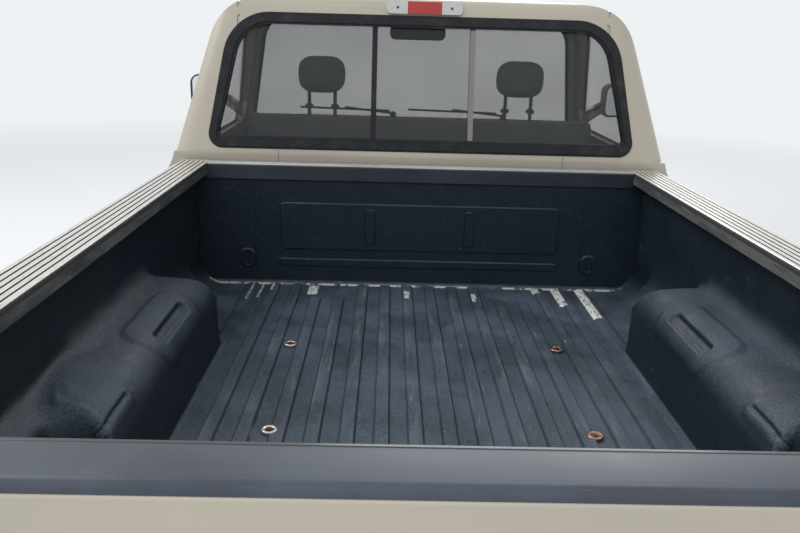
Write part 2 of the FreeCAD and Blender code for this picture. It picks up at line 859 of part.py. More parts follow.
def door_mirror(door):
    """Mirror housing on its arm at the front corner of the window."""
    y, z = DOOR_FRONT_Y - MIRROR_BACK, BELT_Z
    head = prism(
        "y",
        y,
        y + 70,
        [(936, z + 90, 30), (MIRROR_X, z + 97, 40), (MIRROR_X, z + 245, 45), (936, z + 253, 40)],
    )
    arm = loft(
        "x",
        [
            (850, [(y + 116, z + 20), (y + 183, z + 20), (y + 183, z + 90), (y + 116, z + 90)]),
            (960, [(y + 20, z + 125), (y + 63, z + 125), (y + 63, z + 175), (y + 20, z + 175)]),
        ],
        True,
    )
    return cut(fuse([head, arm]), door)


# Front end, from the doors forward: y, how far the sides come in, height of the shoulder
NOSE = (
    (DOOR_FRONT_Y + SHUT_GAP, 0.0, BELT_Z - 3.0),
    (FRONT_AXLE_Y + 250.0, 0.0, 1196.0),
    (FRONT_Y - 330.0, 8.0, 1142.0),
    (FRONT_Y - 180.0, 24.0, 1098.0),
    (FRONT_Y - 90.0, 42.0, 1048.0),
    (FRONT_Y - 40.0, 60.0, 985.0),
)


def nose_rows(inset, top):
    k = (top - ROCKER_Z) / (BELT_Z - 3.0 - ROCKER_Z)
    rows = [(x - inset, ROCKER_Z + (z - ROCKER_Z) * k, r * k) for x, z, r in BODY_SIDE]
    return rows + [(905.0 - inset, top, 40.0), (560.0, top + 26.0, 500.0)]


def nose_solid(wall):
    sections = []
    for i, (y, inset, top) in enumerate(NOSE):
        rows = nose_rows(inset + wall, top - wall)
        if wall:
            rows[0] = (rows[0][0], ROCKER_Z - 1.0, 0.0)
            y += -1.0 if i == 0 else (1.0 if i == len(NOSE) - 1 else 0.0)
        sections.append((y, mirrored(rows)))
    plan = [(-1200, 0, 0), (1200, 0, 0), (1200, FRONT_Y - 880, 0), (930 - wall, FRONT_Y - 90 - wall, 260),
            (0, FRONT_Y - 40 - wall, 3000), (-930 + wall, FRONT_Y - 90 - wall, 260),
            (-1200, FRONT_Y - 880, 0)]
    return loft("y", sections, True).common(prism("z", -FAR, FAR, plan))


HOOD_REAR_Y = COWL_Y + 14.0
HOOD_PIN_Y = 12.0
HOOD_PIN_Z = 1243.0
HOOD_PIN_R = 5.0
HOOD_FRONT_Y = FRONT_Y - 60.0
HOOD_BOTTOM_Z = 985.0


def hood_plan(grow):
    return [
        (-HOOD_HALF - grow, HOOD_REAR_Y - grow * 2, 0),
        (HOOD_HALF + grow, HOOD_REAR_Y - grow * 2, 0),
        (HOOD_HALF - 40 + grow, HOOD_FRONT_Y + grow, 90),
        (-HOOD_HALF + 40 - grow, HOOD_FRONT_Y + grow, 90),
    ]


def hood_space(grow):
    return prism("z", HOOD_BOTTOM_Z - grow, FAR, hood_plan(grow))


def arch(y, radius, x0, x1):
    """Wheel opening with straight sides below the axle height."""
    return fuse(
        [
            rod((x0, y, ARCH_CENTRE_Z), (x1, y, ARCH_CENTRE_Z), radius),
            box(x0, x1, y - radius, y + radius, 0, ARCH_CENTRE_Z),
        ]
    )


LINER_RADIUS = 478.0


def fender(shell):
    """Right-hand fender with its wheel opening and the arch liner inside."""
    side = shell.common(box(HOOD_HALF - 60, FAR, NOSE[0][0], FRONT_Y, ROCKER_Z, FAR))
    apron = shell.common(
        box(LAMP_INNER_X, HOOD_HALF - 50, NOSE[3][0], FRONT_Y, BUMPER_HIGH_Z + SHUT_GAP, FAR)
    )
    side = cut(fuse([side, apron]), hood_space(SHUT_GAP), arch(FRONT_AXLE_Y, ARCH_RADIUS, 500, FAR))
    ring = cut(
        arch(FRONT_AXLE_Y, LINER_RADIUS + SHEET, 520, 1200),
        arch(FRONT_AXLE_Y, LINER_RADIUS, 500, 1300),
    )
    ring = cut(ring, box(0, FAR, 0, FRONT_Y, 0, ROCKER_Z))
    ring = ring.common(nose_solid(SHEET / 2))
    pin = hood_pin(0.0)
    return fuse([side, ring, pin])


def hood_pin(grow):
    """Right-hand hinge pin of the hood, carried by the fender's inner edge."""
    y = HOOD_REAR_Y + HOOD_PIN_Y
    return rod(
        (HOOD_HALF - 12 - grow, y, HOOD_PIN_Z), (HOOD_HALF + 12, y, HOOD_PIN_Z), HOOD_PIN_R + grow,
    )


LAMP_INNER_X = 470.0
LAMP_LOW_Z = 745.0
LAMP_HIGH_Z = HOOD_BOTTOM_Z - SHUT_GAP
LAMP_DEPTH = 120.0
BUMPER_LOW_Z = 450.0
BUMPER_HIGH_Z = 660.0
GRILLE_LOW_Z = BUMPER_HIGH_Z + SHUT_GAP
GRILLE_HIGH_Z = HOOD_BOTTOM_Z - SHUT_GAP
GRILLE_BARS = 4


def headlamp(nose):
    space = prism(
        "y",
        FRONT_Y - 40 - LAMP_DEPTH - 60,
        FRONT_Y,
        [
            (LAMP_INNER_X, LAMP_LOW_Z, 12),
            (FAR, LAMP_LOW_Z, 0),
            (FAR, LAMP_HIGH_Z, 0),
            (LAMP_INNER_X, LAMP_HIGH_Z, 0),
        ],
    )
    return space.common(nose)


def grille():
    """Frame with level bars and a dark backing plate."""
    y0, y1 = FRONT_Y - 125.0, FRONT_Y - 45.0
    half = LAMP_INNER_X
    ring = cut(
        prism("y", y0, y1, mirrored([(half, GRILLE_LOW_Z, 24), (half, GRILLE_HIGH_Z, 24)])),
        prism(
            "y",
            y0 - 1,
            y1 + 1,
            mirrored([(half - 32, GRILLE_LOW_Z + 32, 18), (half - 32, GRILLE_HIGH_Z - 32, 18)]),
        ),
    )
    back = box(-half + 20, half - 20, y0, y0 + 8, GRILLE_LOW_Z + 20, GRILLE_HIGH_Z - 20)
    gap = (GRILLE_HIGH_Z - GRILLE_LOW_Z - 64.0) / (GRILLE_BARS + 1)
    bars = []
    for i in range(GRILLE_BARS):
        z = GRILLE_LOW_Z + 32.0 + gap * (i + 1)
        bars.append(box(-half + 20, half - 20, y0, y1 - 12, z - 9, z + 9))
    post = box(-14, 14, y0, y1 - 8, GRILLE_LOW_Z + 20, GRILLE_HIGH_Z - 20)
    return fuse([ring, back, post] + bars)


def front_bumper():
    """Wrapped bumper bar with two brackets back to the frame."""
    tail, bend = FRONT_Y - 310, FRONT_Y - 140
    outer = [(-955, tail, 30), (-975, bend, 90), (-800, FRONT_Y - 30, 200), (0, FRONT_Y + 6, 4500),
             (800, FRONT_Y - 30, 200), (975, bend, 90), (955, tail, 30)]
    inner = [(915, tail, 0), (925, bend - 20, 60), (780, FRONT_Y - 95, 150),
             (-780, FRONT_Y - 95, 150), (-925, bend - 20, 60), (-915, tail, 0)]
    low, high = BUMPER_LOW_Z, BUMPER_HIGH_Z
    ring = prism("z", low, high, outer + inner)
    lip = prism(
        "x",
        -FAR,
        FAR,
        [(0, low, 0), (FRONT_Y - 30, low, 12), (FRONT_Y, low + 50, 40), (FRONT_Y, high - 50, 40),
         (FRONT_Y - 40, high, 12), (0, high, 0)],
    )
    bar = ring.common(lip)
    frame_end = FRONT_Y - 130.0
    brackets = [box(s * 400 - 28, s * 400 + 28, frame_end, FRONT_Y - 90, 520, 600) for s in (1, -1)]
    return fuse([bar] + brackets)


# Load bed
BED_SKIRT_X = 885.0
BED_SKIRT_Z = 735.0
BED_BOTTOM_Z = 500.0
REAR_ARCH_RADIUS = 432.0
LAMP_BOX = (826.0, 880.0, 1190.0)


def bed_side():
    """Right-hand bed side: whole wall, skirt, wheel opening and grooved rail."""
    rail = [
        (915.0, 1205.0, 60.0),
        (RAIL_OUTER_X, RAIL_METAL_Z, 14.0),
        (RAIL_OUTER_X, RAIL_TOP_Z, 5.0),
        (RAIL_INNER_X, RAIL_TOP_Z, 6.0),
        (RAIL_INNER_X, RAIL_TOP_Z - RAIL_FLANGE, 0.0),
        (BED_WALL_X, RAIL_TOP_Z - RAIL_FLANGE, 0.0),
    ]
    rows = [(BED_WALL_X, ROCKER_Z, 0.0)] + list(BODY_SIDE) + rail
    wall = prism("y", BED_REAR_Y, BED_FRONT_Y, rows)
    wall = cut(
        wall,
        box(0, BED_SKIRT_X, -FAR, FAR, 0, BED_SKIRT_Z),
        box(0, FAR, -FAR, FAR, 0, BED_BOTTOM_Z),
        arch(REAR_AXLE_Y, REAR_ARCH_RADIUS, 0, FAR),
        box(0, BED_WALL_X, BED_REAR_Y - 1, GATE_IN_Y, 0, FAR),
    )
    step = (RAIL_OUTER_X - RAIL_INNER_X) / (RAIL_GROOVES + 1)
    grooves = []
    for i in range(RAIL_GROOVES):
        x = RAIL_INNER_X + step * (i + 1)
        grooves.append(
            box(x - 2.5, x + 2.5, BED_REAR_Y + 25, BED_FRONT_Y - 12, RAIL_TOP_Z - 3, RAIL_TOP_Z + 1)
        )
    return cut(wall, *grooves)


FUEL_DOOR_Y = BED_IN_Y - 230.0
FUEL_DOOR_Z = 1085.0
FUEL_DOOR_HALF = 84.0
SEAM_WIDTH = 3.0
SEAM_DEPTH = 4.0


def fuel_door_seam(flank):
    """Seam of the fuel door in the left-hand bed side."""
    half, low = FUEL_DOOR_HALF, -FAR
    outer = prism("x", low, -BED_WALL_X, oblong(FUEL_DOOR_Y, FUEL_DOOR_Z, half, half, 22.0))
    half -= SEAM_WIDTH
    inner = prism(
        "x", low - 1, 1 - BED_WALL_X, oblong(FUEL_DOOR_Y, FUEL_DOOR_Z, half, half, 22.0 - SEAM_WIDTH),
    )
    shifted = flank.copy()
    shifted.translate(vec(SEAM_DEPTH, 0, 0))
    return cut(outer, inner, shifted)


def tail_lamp(side):
    x, low, high = LAMP_BOX
    space = prism(
        "y",
        BED_REAR_Y - 1,
        BED_REAR_Y + 90,
        [(x, low, 14), (FAR, low, 0), (FAR, high, 0), (x, high, 14)],
    )
    return space.common(side)


HOUSE_FRONT_Y = REAR_AXLE_Y + WHEELHOUSE_FRONT
HOUSE_REAR_Y = REAR_AXLE_Y - WHEELHOUSE_REAR
HOUSE_SHOULDER_Z = LINER_Z + WHEELHOUSE_HEIGHT
HOUSE_TOP_Z = HOUSE_SHOULDER_Z + WHEELHOUSE_WALL_RISE
HOUSE_SLOPE = 100.0
HOUSE_CROWN = 100.0
HOUSE_SHOULDER = 90.0
HOUSE_CORNER = 120.0
HOUSE_REAR_CORNER = 60.0
HOUSE_TAIL_X = 696.0
HOUSE_TAIL_RUN = 280.0


def wheelhouse(inset, low):
    """Right-hand hump over the rear wheel, drawn in from the liner's face by an inset."""
    front, rear, top = HOUSE_FRONT_Y - inset, HOUSE_REAR_Y + inset, HOUSE_TOP_Z - inset
    inner = WHEELHOUSE_X + inset
    crown = HOUSE_CROWN - inset
    side = prism(
        "x",
        inner,
        BED_WALL_X,
        [(rear, low, 0), (rear, LINER_Z, 0), (rear + HOUSE_SLOPE, top, crown),
         (front - HOUSE_SLOPE, top, crown), (front, LINER_Z, 0), (front, low, 0)],
    )
    face = prism(
        "y",
        -FAR,
        FAR,
        [(inner, low), (inner, LINER_Z), (inner + 18, HOUSE_SHOULDER_Z - inset, HOUSE_SHOULDER - inset),
         (BED_WALL_X, top), (BED_WALL_X, low)],
    )
    lean = HOUSE_TAIL_RUN / (BED_WALL_X - HOUSE_TAIL_X)
    tail = HOUSE_REAR_Y + HOUSE_TAIL_RUN + inset * math.hypot(1.0, lean)
    plan = prism(
        "z",
        low,
        FAR,
        [(BED_WALL_X, tail), (BED_WALL_X - (tail - rear) / lean, rear), (inner, rear, HOUSE_REAR_CORNER - inset),
         (inner, front, HOUSE_CORNER - inset), (BED_WALL_X, front)],
    )
    return side.common(face).common(plan)


LEDGE_X = 745.0
LEDGE_DROP = 40.0
LEDGE_REAR_Y = REAR_AXLE_Y - 690.0
LEDGE_FRONT_Y = REAR_AXLE_Y - 150.0


def wall_ledge(inset, low):
    """Right-hand ledge that runs back along the wall from the hump, drawn in by an inset."""
    top = HOUSE_TOP_Z - inset
    x = LEDGE_X + inset
    side = prism(
        "y",
        LEDGE_REAR_Y + inset,
        LEDGE_FRONT_Y - inset,
        [(x, low), (x, top - LEDGE_DROP, 20), (BED_WALL_X, top), (BED_WALL_X, low)],
    )
    rear = LEDGE_REAR_Y + inset
    end = prism(
        "x",
        0,
        FAR,
        [(rear, low, 0), (rear + 60, FAR, 0), (LEDGE_FRONT_Y, FAR, 0), (LEDGE_FRONT_Y, low, 0)],
    )
    return side.common(end)


def bed_floor():
    """Metal floor with its cross sills and the two wheelhouses."""
    low = BED_METAL_Z - PANEL
    floor = box(-BED_WALL_X, BED_WALL_X, GATE_IN_Y + SHUT_GAP, BED_FRONT_Y, low, BED_METAL_Z)
    sills = []
    for y in BED_MOUNTS_Y + (REAR_AXLE_Y,):
        sills.append(box(-600, 600, y - 45, y + 45, BED_SILL_Z, low))
    shells, hollows = [], []
    for make in (right_of, left_of):
        shells.append(make(wheelhouse(LINER_THICK, low)))
        hollows.append(make(wheelhouse(LINER_THICK + PANEL, BED_SILL_Z)))
    return cut(fuse([floor] + sills + shells), *hollows)




def bed_front_wall():
    """Front wall with its rolled cap, which overhangs the liner."""
    face = BED_IN_Y + CAP_OVERHANG + LINER_THICK
    wall = box(-BED_WALL_X, BED_WALL_X, face, BED_FRONT_Y, BED_METAL_Z, RAIL_TOP_Z - RAIL_FLANGE)
    cap = prism(
        "x",
        -RAIL_INNER_X,
        RAIL_INNER_X,
        [(BED_IN_Y, RAIL_TOP_Z - CAP_DEPTH, 3), (BED_IN_Y, RAIL_TOP_Z, 8), (BED_FRONT_Y, RAIL_TOP_Z, 8),
         (BED_FRONT_Y, RAIL_TOP_Z - CAP_DEPTH, 0)],
    )
    return fuse(
        [wall, cut(cap, box(-FAR, FAR, BED_IN_Y + CAP_OVERHANG, face, 0, RAIL_TOP_Z - RAIL_FLANGE))]
    )


# Liner details: x and z of the middle of each raised oval ring, half sizes of the ring and its hollow
OVAL_X = 630.0
OVAL_Z = RAIL_TOP_Z - 350.0
WALL_OVAL_Y = LINER_FRONT_Y - 62.0
WALL_OVAL_Z = RAIL_TOP_Z - 285.0
OVAL_OUTER = (30.5, 38.0)
OVAL_INNER = (17.0, 26.0)
EMBOSS = 8.0
EMBOSS_SLOPE = 4.0
FLARE_RADIUS = 185.0
COVE_RADIUS = 60.0
COVE_DROP = 12.0
TRAY_CORNER = 85.0
# x of the ribs that stop short of the front wall, and where they stop
SHORT_RIBS = (283.5, 364.5)
SHORT_RIB_GAP = 180.0
RIB_GAP = 22.0
# half width, low and high edge below the rail, corner radius, height of the pads on the front wall
FRONT_PADS = (
    (510.0, 312.0, 137.0, 18.0, EMBOSS),
    (515.0, 378.0, 347.0, 10.0, 6.0),
)
STUD_X = 180.0
STUD_HALF = 19.0
STUD_LOW = 290.0
STUD_HIGH = 155.0


def raised(corners, height=EMBOSS, plane="y", face=LINER_FRONT_Y):
    """A pad that stands out of one of the liner's walls, its edges sloped."""
    us = [c[0] for c in corners]
    vs = [c[1] for c in corners]
    mu, mv = (min(us) + max(us)) / 2, (min(vs) + max(vs)) / 2
    narrow = 1 - EMBOSS_SLOPE / ((max(us) - min(us)) / 2)
    short = 1 - EMBOSS_SLOPE / ((max(vs) - min(vs)) / 2)
    small = [(mu + (u - mu) * narrow, mv + (v - mv) * short, r) for u, v, r in corners]
    return loft(plane, [(face + 1, corners), (face - height, small)], True)


def oblong(u, v, half_wide, half_tall, radius):
    """Corners of an upright block about a middle point."""
    return [(u - half_wide, v - half_tall, radius), (u + half_wide, v - half_tall, radius),
            (u + half_wide, v + half_tall, radius), (u - half_wide, v + half_tall, radius)]


def oval_ring(plane, face, u, v):
    """Raised ring with a hollow middle."""
    outer, inner = (oblong(u, v, wide, tall, wide * 0.92) for wide, tall in (OVAL_OUTER, OVAL_INNER))
    return cut(raised(outer, EMBOSS, plane, face), prism(plane, face - 2 * EMBOSS, face, inner))


def cove(radius, low, plan):
    """Right-hand hollow sweep of the liner from a level up into the wall, trimmed to a plan."""
    wall = LINER_WALL_X + 1
    web = cut(
        box(wall - radius, wall, -FAR, FAR, low - 1, low + radius),
        prism("y", -FAR, FAR, [(0, low, 0), (wall - 1, low, radius), (wall - 1, FAR, 0), (0, FAR, 0)]),
    )
    return web.common(prism("z", 0, FAR, plan))


def flare(tip, along):
    """Right-hand sweep from wall to floor before or behind the hump."""
    y0, wall, foot = REAR_AXLE_Y, BED_WALL_X + 5, WHEELHOUSE_X + 7
    return cove(
        FLARE_RADIUS,
        LINER_Z,
        [(0, y0), (0, tip + along), (foot, tip), (wall, tip - along), (wall, y0)],
    )


def hump_cove():
    """Right-hand sweep from the top of the hump into the wall."""
    near, wall = LINER_WALL_X - COVE_RADIUS, BED_WALL_X + 5
    front, rear = HOUSE_FRONT_Y - HOUSE_SLOPE, HOUSE_REAR_Y + HOUSE_TAIL_RUN
    plan = [(near, rear + 60), (wall, rear + 10), (wall, front - 30), (near, front - 90)]
    return cove(COVE_RADIUS, HOUSE_TOP_Z - COVE_DROP, plan)


def liner_ribs(rear_y):
    """Lengthwise ribs of the floor; two on each side stop short of the front wall."""
    half, low, high = RIB_WIDTH / 2, LINER_Z, LINER_Z + RIB_HEIGHT
    ribs = []
    for i in range(RIB_COUNT):
        x = (i - (RIB_COUNT - 1) / 2) * RIB_PITCH
        gap = SHORT_RIB_GAP if abs(x) in SHORT_RIBS else RIB_GAP
        section = [(x - half, low - 1), (x + half, low - 1), (x + half, low), (x + half - RIB_SLOPE, high),
                   (x - half + RIB_SLOPE, high), (x - half, low)]
        ribs.append(prism("y", rear_y + 12, LINER_FRONT_Y - gap, section))
    return ribs


def bed_liner():
    """Moulded liner: floor with lengthwise ribs, walls, humps and the embossed front."""
    rear, front = GATE_IN_Y + SHUT_GAP, LINER_FRONT_Y + LINER_THICK
    high = RAIL_TOP_Z - RAIL_FLANGE
    outer = box(-BED_WALL_X, BED_WALL_X, rear, front, BED_METAL_Z, high)
    outer = cut(outer, box(-FAR, FAR, BED_IN_Y, front + 1, RAIL_TOP_Z - CAP_DEPTH, FAR))
    wall = LINER_WALL_X
    across = prism(
        "y", rear - 1, LINER_FRONT_Y, mirrored([(wall, LINER_Z, TRAY_CORNER), (wall, RAIL_TOP_Z, 0)]),
    )
    along = prism(
        "x",
        -FAR,
        FAR,
        [
            (LINER_FRONT_Y, FAR, 0),
            (LINER_FRONT_Y, LINER_Z, 16),
            (rear - 1, LINER_Z, 0),
            (rear - 1, FAR, 0),
        ],
    )
    right = [
        wheelhouse(0.0, BED_METAL_Z),
        wall_ledge(0.0, BED_METAL_Z),
        hump_cove(),
        flare(BED_IN_Y - 140.0, 70.0),
        flare(HOUSE_REAR_Y - 160.0, -70.0),
        box(RAIL_INNER_X, wall + 1, rear, BED_IN_Y, high - LIP_HEIGHT + RAIL_FLANGE, high),
        oval_ring("x", wall, WALL_OVAL_Y, WALL_OVAL_Z),
        oval_ring("y", LINER_FRONT_Y, OVAL_X, OVAL_Z),
    ]
    adds = []
    for shape in right:
        adds += both(shape)
    for half, low, top, radius, height in FRONT_PADS:
        rows = [(half, RAIL_TOP_Z - low, radius), (half, RAIL_TOP_Z - top, radius)]
        adds.append(raised(mirrored(rows), height))
    middle, tall = RAIL_TOP_Z - (STUD_LOW + STUD_HIGH) / 2, (STUD_LOW - STUD_HIGH) / 2
    for x in (STUD_X, -STUD_X):
        adds.append(raised(oblong(x, middle, STUD_HALF, tall, 12.0), 2 * EMBOSS))
    body = fuse([cut(outer, across.common(along))] + adds + liner_ribs(rear))
    hollows = []
    for make in (wheelhouse, wall_ledge):
        hollows += both(make(LINER_THICK, BED_METAL_Z - 1))
    return cut(body, *hollows)


# Tailgate
GATE_HALF = BED_WALL_X - SHUT_GAP
GATE_LOW_Z = 790.0
GATE_CAP_Z = RAIL_TOP_Z - 14.0
GATE_STRIP = 10.0
GATE_PIN_Y = GATE_IN_Y - TAILGATE_THICK / 2
GATE_PIN_Z = LINER_Z - TAILGATE_THICK / 2
GATE_PIN_R = 9.0
PIN_GAP = 0.5


def tailgate():
    panel = prism(
        "x",
        -GATE_HALF,
        GATE_HALF,
        [(BED_REAR_Y, GATE_LOW_Z, 10), (BED_REAR_Y, GATE_CAP_Z, 5), (GATE_IN_Y - GATE_STRIP, GATE_CAP_Z, 0),
         (GATE_IN_Y - GATE_STRIP, RAIL_TOP_Z - 2, 3), (GATE_IN_Y, RAIL_TOP_Z - 2, 3),
         (GATE_IN_Y, GATE_LOW_Z, 0)],
    )
    recess = prism("y", BED_REAR_Y - 1, BED_REAR_Y + 9, mirrored([(560, 870, 30), (560, 1150, 30)]))
    ears = []
    for s in (1, -1):
        rear, front, foot, head = GATE_PIN_Y - 18, GATE_PIN_Y + 18, GATE_LOW_Z + 5, GATE_PIN_Z - 16
        ear = prism(
            "x",
            GATE_HALF - 16,
            GATE_HALF,
            [(rear, foot, 0), (rear, head, 10), (front, head, 10), (front, foot, 0)],
        )
        pin = rod(
            (GATE_HALF - 2, GATE_PIN_Y, GATE_PIN_Z),
            (GATE_HALF + 20, GATE_PIN_Y, GATE_PIN_Z),
            GATE_PIN_R,
        )
        ears += [ear, pin] if s > 0 else [left_of(ear), left_of(pin)]
    handle = prism("y", BED_REAR_Y - 3, BED_REAR_Y + 9, mirrored([(95, 1085, 14), (95, 1140, 14)]))
    return fuse([cut(panel, recess), handle] + ears)


def tailgate_cap():
    """Rounded plastic cap along the gate's top edge."""
    inner, outer = GATE_IN_Y - GATE_STRIP, BED_REAR_Y + 2
    return prism(
        "x",
        -GATE_HALF,
        GATE_HALF,
        [(inner, GATE_CAP_Z, 0), (inner, RAIL_TOP_Z + 1, 9), ((inner + outer) / 2, RAIL_TOP_Z + 4, 300),
         (outer, RAIL_TOP_Z, 13), (outer, GATE_CAP_Z, 0)],
    )


BALL_HOLE_R = 13.0
BALL_HIGH = 665.0
BALL_LOW = 653.0
PLATE_Z = 632.0
PLATE_FACE_Y = REAR_Y + 12.0
PLATE_SPACING = 177.8
PLATE_HOLE_R = 3.5


def rear_bumper():
    """Step bumper with brackets back to the frame, a ball hole and a plate recess."""
    wall = BALL_HIGH - BALL_LOW
    bar = prism(
        "x",
        -880,
        880,
        [(REAR_Y, 520, 14), (REAR_Y, BALL_HIGH, 20), (REAR_Y + 175, BALL_HIGH, 4), (REAR_Y + 175, BALL_LOW, 4),
         (REAR_Y + wall, BALL_LOW, 8), (REAR_Y + wall, 532, 6), (REAR_Y + 60, 532, 4),
         (REAR_Y + 60, 520, 4)],
    )
    hole = rod((0, REAR_Y + 80, BALL_LOW - 5), (0, REAR_Y + 80, BALL_HIGH + 5), BALL_HOLE_R)
    recess = prism("y", REAR_Y - 1, PLATE_FACE_Y, mirrored([(165, 548, 8), (165, 646, 8)]))
    backing = box(-180, 180, PLATE_FACE_Y, PLATE_FACE_Y + 12, 530, BALL_LOW + 1)
    screws = [
        rod(
            (s * PLATE_SPACING / 2, REAR_Y, PLATE_Z),
            (s * PLATE_SPACING / 2, REAR_Y + 30, PLATE_Z),
            PLATE_HOLE_R,
        )
        for s in (1, -1)
    ]
    brackets = [
        box(s * 400 - 28, s * 400 + 28, REAR_Y + wall, BED_REAR_Y + 30, 600, BALL_LOW)
        for s in (1, -1)
    ]
    return cut(fuse([cut(bar, recess), backing] + brackets), hole, *screws)


# Rear window: half widths at the seal's foot and head, heights, corner radii
WINDOW_FOOT_Z = RAIL_TOP_Z + 42.0
WINDOW_HEAD_Z = ROOF_Z - 81.0
WINDOW_TALL = WINDOW_HEAD_Z - WINDOW_FOOT_Z
WINDOW_FOOT = (787.0, WINDOW_FOOT_Z, WINDOW_TALL * 0.105)
WINDOW_HEAD = (700.0, WINDOW_HEAD_Z, WINDOW_TALL * 0.355)
WINDOW_LEAST_R = 15.0
DIVIDER_X = 178.0
DIVIDER_HALF = 9.5


def rear_opening(inset):
    rows = []
    for (x, z, radius), rise in ((WINDOW_FOOT, inset), (WINDOW_HEAD, -inset)):
        rows.append((x - inset, z + rise, max(radius - inset, WINDOW_LEAST_R)))
    return prism("y", CAB_REAR_Y - 50, CAB_REAR_Y + 300, mirrored(rows))


def rear_seal():
    """Rubber surround and the two upright dividers, level with the panel's outer face."""
    ring = cut(rear_opening(0), rear_opening(SEAL_WIDTH)).common(back_slab(-4, 26))
    bead = cut(rear_opening(7), rear_opening(SEAL_WIDTH - 9)).common(back_slab(-9, -3))
    bars = []
    for s in (1, -1):
        bar = box(
            s * DIVIDER_X - DIVIDER_HALF,
            s * DIVIDER_X + DIVIDER_HALF,
            CAB_REAR_Y - 50,
            CAB_REAR_Y + 300,
            1000,
            FAR,
        )
        bars.append(bar.common(rear_opening(SEAL_WIDTH - 2)).common(back_slab(2, 22)))
    return fuse([ring, bead] + bars)


BACK_SEAM_X = 522.0


def back_seams():
    """Upright panel seams below the rear window."""
    low, high = CAB_PAN_Z, WINDOW_FOOT[1] - 2
    return [
        box(s * BACK_SEAM_X - 2, s * BACK_SEAM_X + 2, CAB_REAR_Y - 1, CAB_REAR_Y + 3, low, high)
        for s in (1, -1)
    ]


THIRD_LAMP_HALF = 137.0
THIRD_LAMP_LOW_Z = ROOF_Z - 75.0
THIRD_LAMP_HIGH_Z = ROOF_Z - 32.0


def third_lamp():
    """High brake lamp on the roof's rear edge."""
    y = CAB_REAR_Y + (THIRD_LAMP_LOW_Z - BACK_BELT_Z) * REAR_LEAN / (BACK_TOP_Z - BACK_BELT_Z)
    half = THIRD_LAMP_HALF
    return prism(
        "y", y - 14, y + 60, mirrored([(half, THIRD_LAMP_LOW_Z, 16), (half, THIRD_LAMP_HIGH_Z, 16)]),
    )


# Seat, over the cab floor and forward of its datum: rows are forward, up, corner radius
SEAT_Y = CAB_REAR_Y + 245.0
SEAT_X = 700.0
SEAT_BASE = (640.0, 60.0, 480.0, 120.0)
CUSHION_ROWS = ((20, 115, 30), (540, 135, 60), (540, 260, 50), (20, 230, 30))
BACKREST_ROWS = ((10, 200, 30), (170, 220, 40), (60, 800, 50), (-70, 800, 50))
HEADREST_X = 383.0
HEADREST_HALF = 97.0
HEADREST_LOW = 840.0
HEADREST_HIGH = 1000.0
HEADREST_CORNER = 50.0
HEADREST_ROWS = (
    (-45, HEADREST_LOW, 25),
    (55, HEADREST_LOW, 30),
    (25, HEADREST_HIGH, 35),
    (-55, HEADREST_HIGH, 30),
)
REST_POST_APART = 50.0
REST_POST_R = 7.0
REST_POST_LOW = 780.0
REST_POST_HIGH = HEADREST_LOW + 20.0


def on_seat(rows):
    return [(SEAT_Y + ahead, CAB_FLOOR_Z + up, radius) for ahead, up, radius in rows]


def headrest(side):
    """Rounded pad on its two posts."""
    middle, half = CAB_FLOOR_Z + (HEADREST_LOW + HEADREST_HIGH) / 2, (HEADREST_HIGH - HEADREST_LOW) / 2
    front = oblong(side * HEADREST_X, middle, HEADREST_HALF, half, HEADREST_CORNER)
    pad = prism("x", -FAR, FAR, on_seat(HEADREST_ROWS)).common(
        prism("y", SEAT_Y - 200, SEAT_Y + 200, front)
    )
    pieces = [pad]
    for apart in (-REST_POST_APART, REST_POST_APART):
        x = side * HEADREST_X + apart
        pieces.append(
            rod(
                (x, SEAT_Y, CAB_FLOOR_Z + REST_POST_LOW),
                (x, SEAT_Y, CAB_FLOOR_Z + REST_POST_HIGH),
                REST_POST_R,
            )
        )
    return pieces


def bench_seat():
    """Cushion on its base, backrest and two headrests."""
    half, rear, front, tall = SEAT_BASE
    base = box(-half, half, SEAT_Y + rear, SEAT_Y + front, CAB_FLOOR_Z, CAB_FLOOR_Z + tall)
    cushion = prism("x", -SEAT_X, SEAT_X, on_seat(CUSHION_ROWS))
    back = prism("x", -SEAT_X, SEAT_X, on_seat(BACKREST_ROWS))
    return fuse([base, cushion, back] + headrest(1) + headrest(-1))


# Dashboard, back from the cowl and down from its top: rows are back, down, corner radius
DASH_HALF = 800.0
DASH_BACK = 117.0
DASH_ROWS = ((0, 268, 0), (248, 308, 60), (298, 118, 50), (198, 46, 60), (0, 46, 0))


def dashboard():
    y = COWL_Y - DASH_BACK
    return prism(
        "x",
        -DASH_HALF,
        DASH_HALF,
        [(y - back, COWL_Z - down, radius) for back, down, radius in DASH_ROWS],
    )


STEERING_X = -400.0
STEERING_BACK = 575.0
STEERING_DOWN = 138.0
STEERING_TILT = 62.0
STEERING_R = 185.0
STEERING_RIM_R = 15.0
STEERING_BOSS_R = 60.0
STEERING_COLUMN_R = 24.0


def steering_wheel(dash):
    """Rim, spokes and boss on the column."""
    ring = Part.makeTorus(STEERING_R, STEERING_RIM_R)
    reach = STEERING_R - 5
    level = box(-reach, reach, -16, 16, -8, 8)
    upright = box(-16, 16, -reach, 0, -8, 8)
    boss = Part.makeCylinder(STEERING_BOSS_R, 36, vec(0, 0, -18))
    column = Part.makeCylinder(STEERING_COLUMN_R, 260, vec(0, 0, -270))
    wheel = fuse([ring, column, level, upright, boss])
    wheel.rotate(vec(0, 0, 0), vec(1, 0, 0), STEERING_TILT)
    wheel.translate(vec(STEERING_X, COWL_Y - STEERING_BACK, COWL_Z - STEERING_DOWN))
    return cut(wheel, dash)


INNER_MIRROR_HALF = 125.0
INNER_MIRROR_TALL = 65.0
INNER_MIRROR_DEEP = 30.0
INNER_MIRROR_DOWN = 172.0
INNER_MIRROR_STEM_R = 8.0


